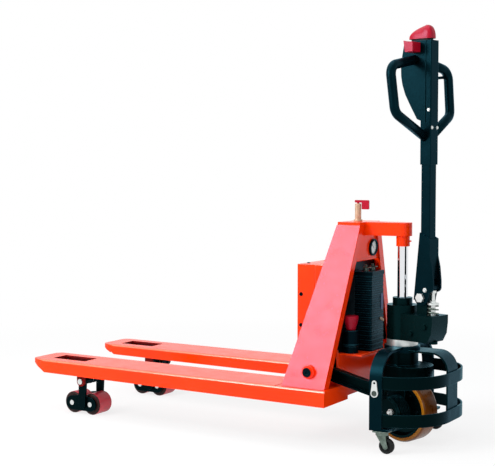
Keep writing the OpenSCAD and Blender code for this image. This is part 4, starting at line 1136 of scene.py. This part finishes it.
@dataclass
class Linkage(SubAssembly):
    """Rocker, push rods, roller frames, bogies and load rollers."""

    axle_half_pitch: float = 39.0
    # Share of a face's direction that points across, on a roller's ends
    end_facing: float = 0.7

    def build(self) -> None:
        """Dresses the lifting linkage."""
        self.dress("rocker", SHADED_BLACK, 0.8)
        roller_sides = ((ROLLER_END, lambda place, normal: abs(normal.y) > self.end_facing),)
        for side in ("left", "right"):
            self.dress("push_rod_" + side, BLACK, 0.5)
            self.dress("roller_frame_" + side, SHADED_BLACK, 0.8)
            self.dress("bogie_" + side, SHADED_BLACK, 0.4)
            for end in ("front", "rear"):
                self.dress(f"load_roller_{end}_{side}", CRIMSON_TREAD, 0.8, 2, roller_sides)
            self.axle_ends(side)

    def axle_ends(self, side: str) -> None:
        """Adds the bright ends of a bogie's axles.

        Args:
            side: which fork the bogie is under.
        """
        ends = FastenerTree("axle_end_" + side, ZINC, Head.ROUND, radius=6.0, height=0.4, washer=8.5)
        low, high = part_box("bogie_" + side)
        axle_z = middle_of("load_roller_front_" + side).z
        pitch = self.axle_half_pitch * MM
        spots = [
            (Vector(((low.x + high.x) / 2 + along, y, axle_z)), Vector((0, way, 0)))
            for along in (-pitch, pitch) for way, y in ((-1, low.y), (1, high.y))
        ]
        self.carry(ends.set_on("axle_ends_" + side, spots), "bogie_" + side, "zinc_plate")


@dataclass
class Base(SubAssembly):
    """Arch, guard hoops, rear strap and casters."""

    rivet_z: float = 179.0

    def build(self) -> None:
        """Dresses what stays on the floor."""
        self.dress("arch", BLACK, 1.0)
        self.dress("rear_strap", SHADED_BLACK, 0.8)
        self.dress("hoops", SHADED_BLACK, 0.8)
        for node in ("bearing_ring", "leg_pins", "keeper_tabs"):
            self.dress(node, ZINC, 0.6)
        self.dress("caster_plates", SHADED_ZINC, 0.6)
        for side in ("left", "right"):
            self.dress("caster_fork_" + side, SHADED_ZINC, 0.4)
            self.dress("caster_wheel_" + side, RUBBER, 0.5)
        rivets = FastenerTree("keeper_rivet", DEEPER_SHADED_ZINC, Head.ROUND, radius=5.5, height=1.0, washer=8.5)
        low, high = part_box("keeper_tabs")
        spots = [
            (Vector(((low.x + high.x) / 2, y, self.rivet_z * MM)), Vector((0, way, 0)))
            for way, y in ((-1, low.y), (1, high.y))
        ]
        self.carry(rivets.set_on("keeper_rivets", spots), "base", "zinc_plate")


@dataclass
class DriveUnit(SubAssembly):
    """Pump, yoke, motor, drive wheel and plunger."""

    # Share of a face's direction that points across, on the tyre's walls
    wall_facing: float = 0.6
    spring_foot: Point = (114.0, 0.0, 346.3)
    spring_radius: float = 15.7
    spring_length: float = 84.4
    spring_turns: float = 7.0
    spring_wire: float = 4.4
    plunger_stroke: float = 37.53
    pump_face: float = 42.0
    pump_plugs: tuple[tuple[float, float], ...] = ((62.0, 342.0), (112.0, 366.0))

    def build(self) -> None:
        """Dresses the steered unit."""
        self.dress("pump_body", CAST_BLACK, 2.0, 3)
        self.dress("yoke", SHADED_BLACK, 0.8)
        self.dress("drive_motor", SHADED_BLACK, 0.5)
        self.dress("cable_gland", ZINC, 0.4)
        self.dress("drive_axle", ZINC, 0.6)
        across = steered_way(0, 1, 0)
        walls = ((AMBER_WALL, lambda place, normal: abs(normal.dot(across)) > self.wall_facing),)
        self.dress("drive_tyre", AMBER_TREAD, 2.0, 3, walls)
        self.dress("drive_hub", CAST_BLACK, 0.8)
        self.dress("plunger", ZINC, 0.5)
        self.spring()
        plugs = FastenerTree("pump_plug", CAST_BLACK, Head.HEX, radius=9.0, height=7.0, washer=11.0)
        spots = [
            (steered(x, way * self.pump_face, z), steered_way(0, way, 0))
            for way in (-1, 1) for x, z in self.pump_plugs
        ]
        self.carry(plugs.set_on("pump_plugs", spots), "steer", "black_casting")

    def spring(self) -> None:
        """Winds the plunger's spring at rest; the coil is rigid and does not get shorter as the plunger goes
        down.
        """
        foot = steered(*self.spring_foot)
        coil = CoilTree(
            "plunger_coil", SHADED_ZINC, radius=self.spring_radius, height=self.spring_length,
            turns=self.spring_turns, wire=self.spring_wire,
        )
        spring = coil.wind("plunger_spring_coil", foot)
        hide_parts("plunger_spring")
        self.carry(spring, "steer", "zinc_plate")
        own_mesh(spring)


@dataclass
class Tiller(SubAssembly):
    """Tiller base, column, handle loop and controls."""

    loop_corners: tuple[Point, ...] = (
        (54.0, 16.0, 1171.9), (58.0, 148.0, 1145.2), (72.0, 141.0, 1007.1), (90.0, 6.0, 933.1),
    )
    loop_bend: float = 34.0
    loop_bend_steps: int = 12
    loop_radius: float = 14.5
    loop_sides: int = 28
    strut_ends: tuple[Point, ...] = ((60.0, 20.0, 1114.1), (60.0, 136.0, 1126.3))
    strut_radius: float = 4.5
    strut_sides: int = 16
    button_x: float = 66.5
    button_half_length: float = 42.5
    button_half_width: float = 19.6
    button_square: float = 0.55
    button_points: int = 64
    button_foot: float = 1233.2
    button_apex: Point = (83.0, 0.0, 1274.6)
    button_lip: float = 4.0
    button_rings: int = 14
    button_bends: tuple[float, float] = (0.72, 1.2)
    button_wall: float = 2.4
    button_edge: float = 0.5
    collar_share: float = 0.82
    collar_heights: tuple[float, ...] = (1226.6, 1231.4, 1234.2)
    side_screw: Point = (105.0, -19.5, 1019.0)
    rear_screw: Point = (113.5, 13.0, 966.0)
    cheek_bolt: Point = (99.0, 22.5, 476.0)

    def build(self) -> None:
        """Dresses the tiller."""
        self.dress("tiller_base", BLACK, 0.8)
        self.dress("tiller_column", BLACK, 0.5)
        self.dress("tiller_sleeve", BLACK, 0.5)
        self.loop()
        self.dress("control_head", BLACK, 3.0, 3)
        self.dress("tiller_pin", ZINC, 0.6)
        self.belly()
        self.collar()
        self.dress("thumb_lever", RED_PLASTIC, 1.2, 3)
        self.fasteners()

    def fasteners(self) -> None:
        """Adds the sleeve's screws and the bolts of the cheeks."""
        screws = FastenerTree("sleeve_screw", ZINC, Head.ROUND, radius=4.0, height=2.4, washer=5.2)
        spots = [(steered(*self.side_screw), steered_way(0, -1, 0))]
        x, y, z = self.rear_screw
        spots += [(steered(x, way * y, z), steered_way(1, 0, 0)) for way in (-1, 1)]
        self.carry(screws.set_on("sleeve_screws", spots), "tiller", "zinc_plate")
        bolts = FastenerTree("cheek_bolt", ZINC, Head.HEX, radius=5.5, height=4.0, washer=7.0)
        x, y, z = self.cheek_bolt
        spots = [(steered(x, way * y, z), steered_way(0, way, 0)) for way in (-1, 1)]
        self.carry(bolts.set_on("cheek_bolts", spots), "tiller", "zinc_plate")

    def loop(self) -> None:
        """Draws the handle loop as smooth tubes in place of the faceted ones."""
        up = steered_way(1, 0, 0)
        tubes = bmesh.new()
        for side in (-1, 1):
            points = [steered(x, side * y, z) for x, y, z in self.loop_corners]
            line = bent(points, self.loop_bend * MM, self.loop_bend_steps)
            swept(tubes, line, self.loop_radius * MM, self.loop_sides, up)
        strut = [steered(*end) for end in self.strut_ends]
        swept(tubes, strut, self.strut_radius * MM, self.strut_sides, up)
        obj = from_bmesh("handle_loop_tubes", tubes)
        obj.data.shade_smooth()
        obj.data.materials.append(BLACK.material())
        self.stand_for(obj, "handle_loop")

    def belly(self) -> None:
        """Draws the belly button as a smooth hollow dome in place of the faceted one."""
        outline = self.button_outline(1.0, self.button_foot)
        apex, front = steered(*self.button_apex), steered_way(-1, 0, 0).to_2d()
        cap = dome(outline, apex, self.button_lip * MM, self.button_rings, front, self.button_bends)
        obj = from_bmesh("belly_dome", cap)
        obj.data.materials.append(RED_PLASTIC.material())
        wall = obj.modifiers.new("wall", "SOLIDIFY")
        wall.thickness = self.button_wall * MM
        wall.offset = -1
        rounded(obj, self.button_edge)
        self.stand_for(obj, "belly_button")

    def collar(self) -> None:
        """Sets a rubber collar on the head, which stands up inside the hollow belly button."""
        bm = bmesh.new()
        outlines = [self.button_outline(self.collar_share, z) for z in self.collar_heights]
        rings = [[bm.verts.new(p) for p in outline] for outline in outlines]
        strips(bm, rings)
        bm.faces.new(rings[0][::-1])
        bm.faces.new(rings[-1])
        obj = from_bmesh("button_collar", bm)
        obj.data.materials.append(RUBBER.material())
        self.carry(obj, "tiller", "dark_rubber")

    def button_outline(self, share: float, z: float) -> list[Vector]:
        """The belly button's foot, or a smaller outline inside it.

        Args:
            share: size, of the whole foot.
            z: height in millimetres.

        Returns:
            Its corners in metres, in order.
        """
        outline = []
        for i in range(self.button_points):
            turn = 2 * math.pi * i / self.button_points
            along, across = (
                share * math.copysign(abs(part) ** self.button_square, part)
                for part in (math.cos(turn), math.sin(turn))
            )
            x = self.button_x + self.button_half_length * along
            outline.append(steered(x, self.button_half_width * across, z))
        return outline


# Studio


@dataclass(frozen=True)
class Softbox:
    """A square lamp that faces a point."""

    name: str
    place: Point
    aim: Point
    size: float
    watts: float

    def hang(self) -> None:
        """Puts the lamp in the scene."""
        data = bpy.data.lights.new(self.name, "AREA")
        data.size = self.size
        data.energy = self.watts
        lamp = bpy.data.objects.new(self.name, data)
        bpy.context.scene.collection.objects.link(lamp)
        lamp.location = self.place
        lamp.rotation_mode = "QUATERNION"
        lamp.rotation_quaternion = (Vector(self.aim) - Vector(self.place)).to_track_quat("-Z", "Y")


@dataclass
class Studio:
    """Camera at the photograph's angle, pale floor and soft light.

    Lengths are in metres and angles in degrees, apart from what a name says.
    """

    azimuth: float = 31.3616
    elevation: float = 3.3
    distance: float = 3.84658
    focus: Point = (-0.00865, 0.0, 0.62756)
    focal_px: float = 1150.889
    image_px: tuple[int, int] = (495, 466)
    sensor_mm: float = 36.0
    floor_half: float = 30.0
    floor_colour: Colour = (0.88, 0.88, 0.88)
    shadow_reach: tuple[float, float] = (0.9, 2.6)
    floor_glow: tuple[float, float] = (0.8, 1.0)
    sky_colour: Colour = (0.94, 0.97, 1.0)
    sky_strength: float = 0.5
    lamps: tuple[Softbox, ...] = (
        Softbox("top_softbox", (-0.3, -0.5, 3.4), (0.0, 0.0, 0.2), 3.0, 60.0),
        Softbox("left_softbox", (-1.31, -2.41, 2.1), (0.35, -0.2, 0.5), 1.6, 90.0),
        Softbox("right_softbox", (3.2, -1.6, 1.6), (0.3, 0.0, 0.5), 1.6, 9.0),
    )

    def build(self) -> None:
        """Makes the camera, the floor, the lamps and the world."""
        self.camera()
        self.floor()
        for lamp in self.lamps:
            lamp.hang()
        self.world()

    def camera(self) -> None:
        """Sets the scene's camera."""
        a, e = math.radians(self.azimuth), math.radians(self.elevation)
        back = Vector((math.sin(a) * math.cos(e), -math.cos(a) * math.cos(e), math.sin(e)))
        data = bpy.data.cameras.new("camera")
        data.sensor_fit = "HORIZONTAL"
        data.sensor_width = self.sensor_mm
        data.lens = self.focal_px / self.image_px[0] * self.sensor_mm
        eye = bpy.data.objects.new("camera", data)
        bpy.context.scene.collection.objects.link(eye)
        eye.location = Vector(self.focus) + back * self.distance
        eye.rotation_mode = "QUATERNION"
        eye.rotation_quaternion = (-back).to_track_quat("-Z", "Y")
        bpy.context.scene.camera = eye

    @staticmethod
    def seen(tree: bpy.types.NodeTree) -> bpy.types.NodeSocket:
        """Whether a ray shows the background: straight, in a reflection or through glass.

        Args:
            tree: node tree to build in.

        Returns:
            The output, 1 where it does.
        """
        paths = tree.nodes.new("ShaderNodeLightPath")
        shown = paths.outputs["Is Camera Ray"]
        for name in ("Is Glossy Ray", "Is Transmission Ray"):
            either = tree.nodes.new("ShaderNodeMath")
            either.operation = "MAXIMUM"
            tree.links.new(shown, either.inputs[0])
            tree.links.new(paths.outputs[name], either.inputs[1])
            shown = either.outputs[0]
        return shown

    def floor(self) -> None:
        """Adds a white floor that keeps a soft shadow."""
        bm = bmesh.new()
        bmesh.ops.create_grid(bm, x_segments=1, y_segments=1, size=self.floor_half)
        floor = from_bmesh("floor", bm)
        sheet = NodeSheet("white_floor")
        paper = sheet.add("ShaderNodeBsdfDiffuse", Color=(*self.floor_colour, 1))
        glow = sheet.add("ShaderNodeEmission", Color=(1, 1, 1, 1), Strength=1.0)
        coords, reach = sheet.add("ShaderNodeTexCoord"), sheet.tree.nodes.new("ShaderNodeVectorMath")
        reach.operation = "LENGTH"
        sheet.join(coords.outputs["Object"], reach.inputs[0])
        near, far = self.shadow_reach
        low, high = self.floor_glow
        fade = sheet.add("ShaderNodeMapRange", From_Min=near, From_Max=far, To_Min=low, To_Max=high)
        sheet.join(reach.outputs["Value"], fade.inputs["Value"])
        share = sheet.tree.nodes.new("ShaderNodeMath")
        share.operation = "MULTIPLY"
        sheet.join(self.seen(sheet.tree), share.inputs[0])
        sheet.join(fade.outputs["Result"], share.inputs[1])
        mix = sheet.add("ShaderNodeMixShader")
        sheet.join(share.outputs[0], mix.inputs["Fac"])
        sheet.join(paper.outputs[0], mix.inputs[1])
        sheet.join(glow.outputs[0], mix.inputs[2])
        sheet.join(mix.outputs[0], sheet.output.inputs["Surface"])
        floor.data.materials.append(sheet.material)

    def world(self) -> None:
        """A white world to the camera and in reflections, and a softer one that lights the object."""
        world = bpy.data.worlds.new("studio")
        bpy.context.scene.world = world
        world.use_nodes = True
        tree = world.node_tree
        tree.nodes.clear()
        add, join = tree.nodes.new, tree.links.new
        soft, white = add("ShaderNodeBackground"), add("ShaderNodeBackground")
        soft.inputs["Color"].default_value = (*self.sky_colour, 1)
        soft.inputs["Strength"].default_value = self.sky_strength
        white.inputs["Strength"].default_value = 1.0
        white.inputs["Color"].default_value = (1, 1, 1, 1)
        mix, out = add("ShaderNodeMixShader"), add("ShaderNodeOutputWorld")
        join(self.seen(tree), mix.inputs["Fac"])
        join(soft.outputs[0], mix.inputs[1])
        join(white.outputs[0], mix.inputs[2])
        join(mix.outputs[0], out.inputs["Surface"])


def main() -> None:
    """Builds the studio and the truck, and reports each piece."""
    logging.basicConfig(level=logging.INFO)
    bpy.context.scene.view_settings.view_transform = "Standard"
    Studio().build()
    for part in (ForkFrame(), Electrics(), Linkage(), Base(), DriveUnit(), Tiller()):
        part.build()
        for piece, body in part.pieces.items():
            LOG.info("%s rides on %s", piece, body)


if __name__ == "__main__":
    main()
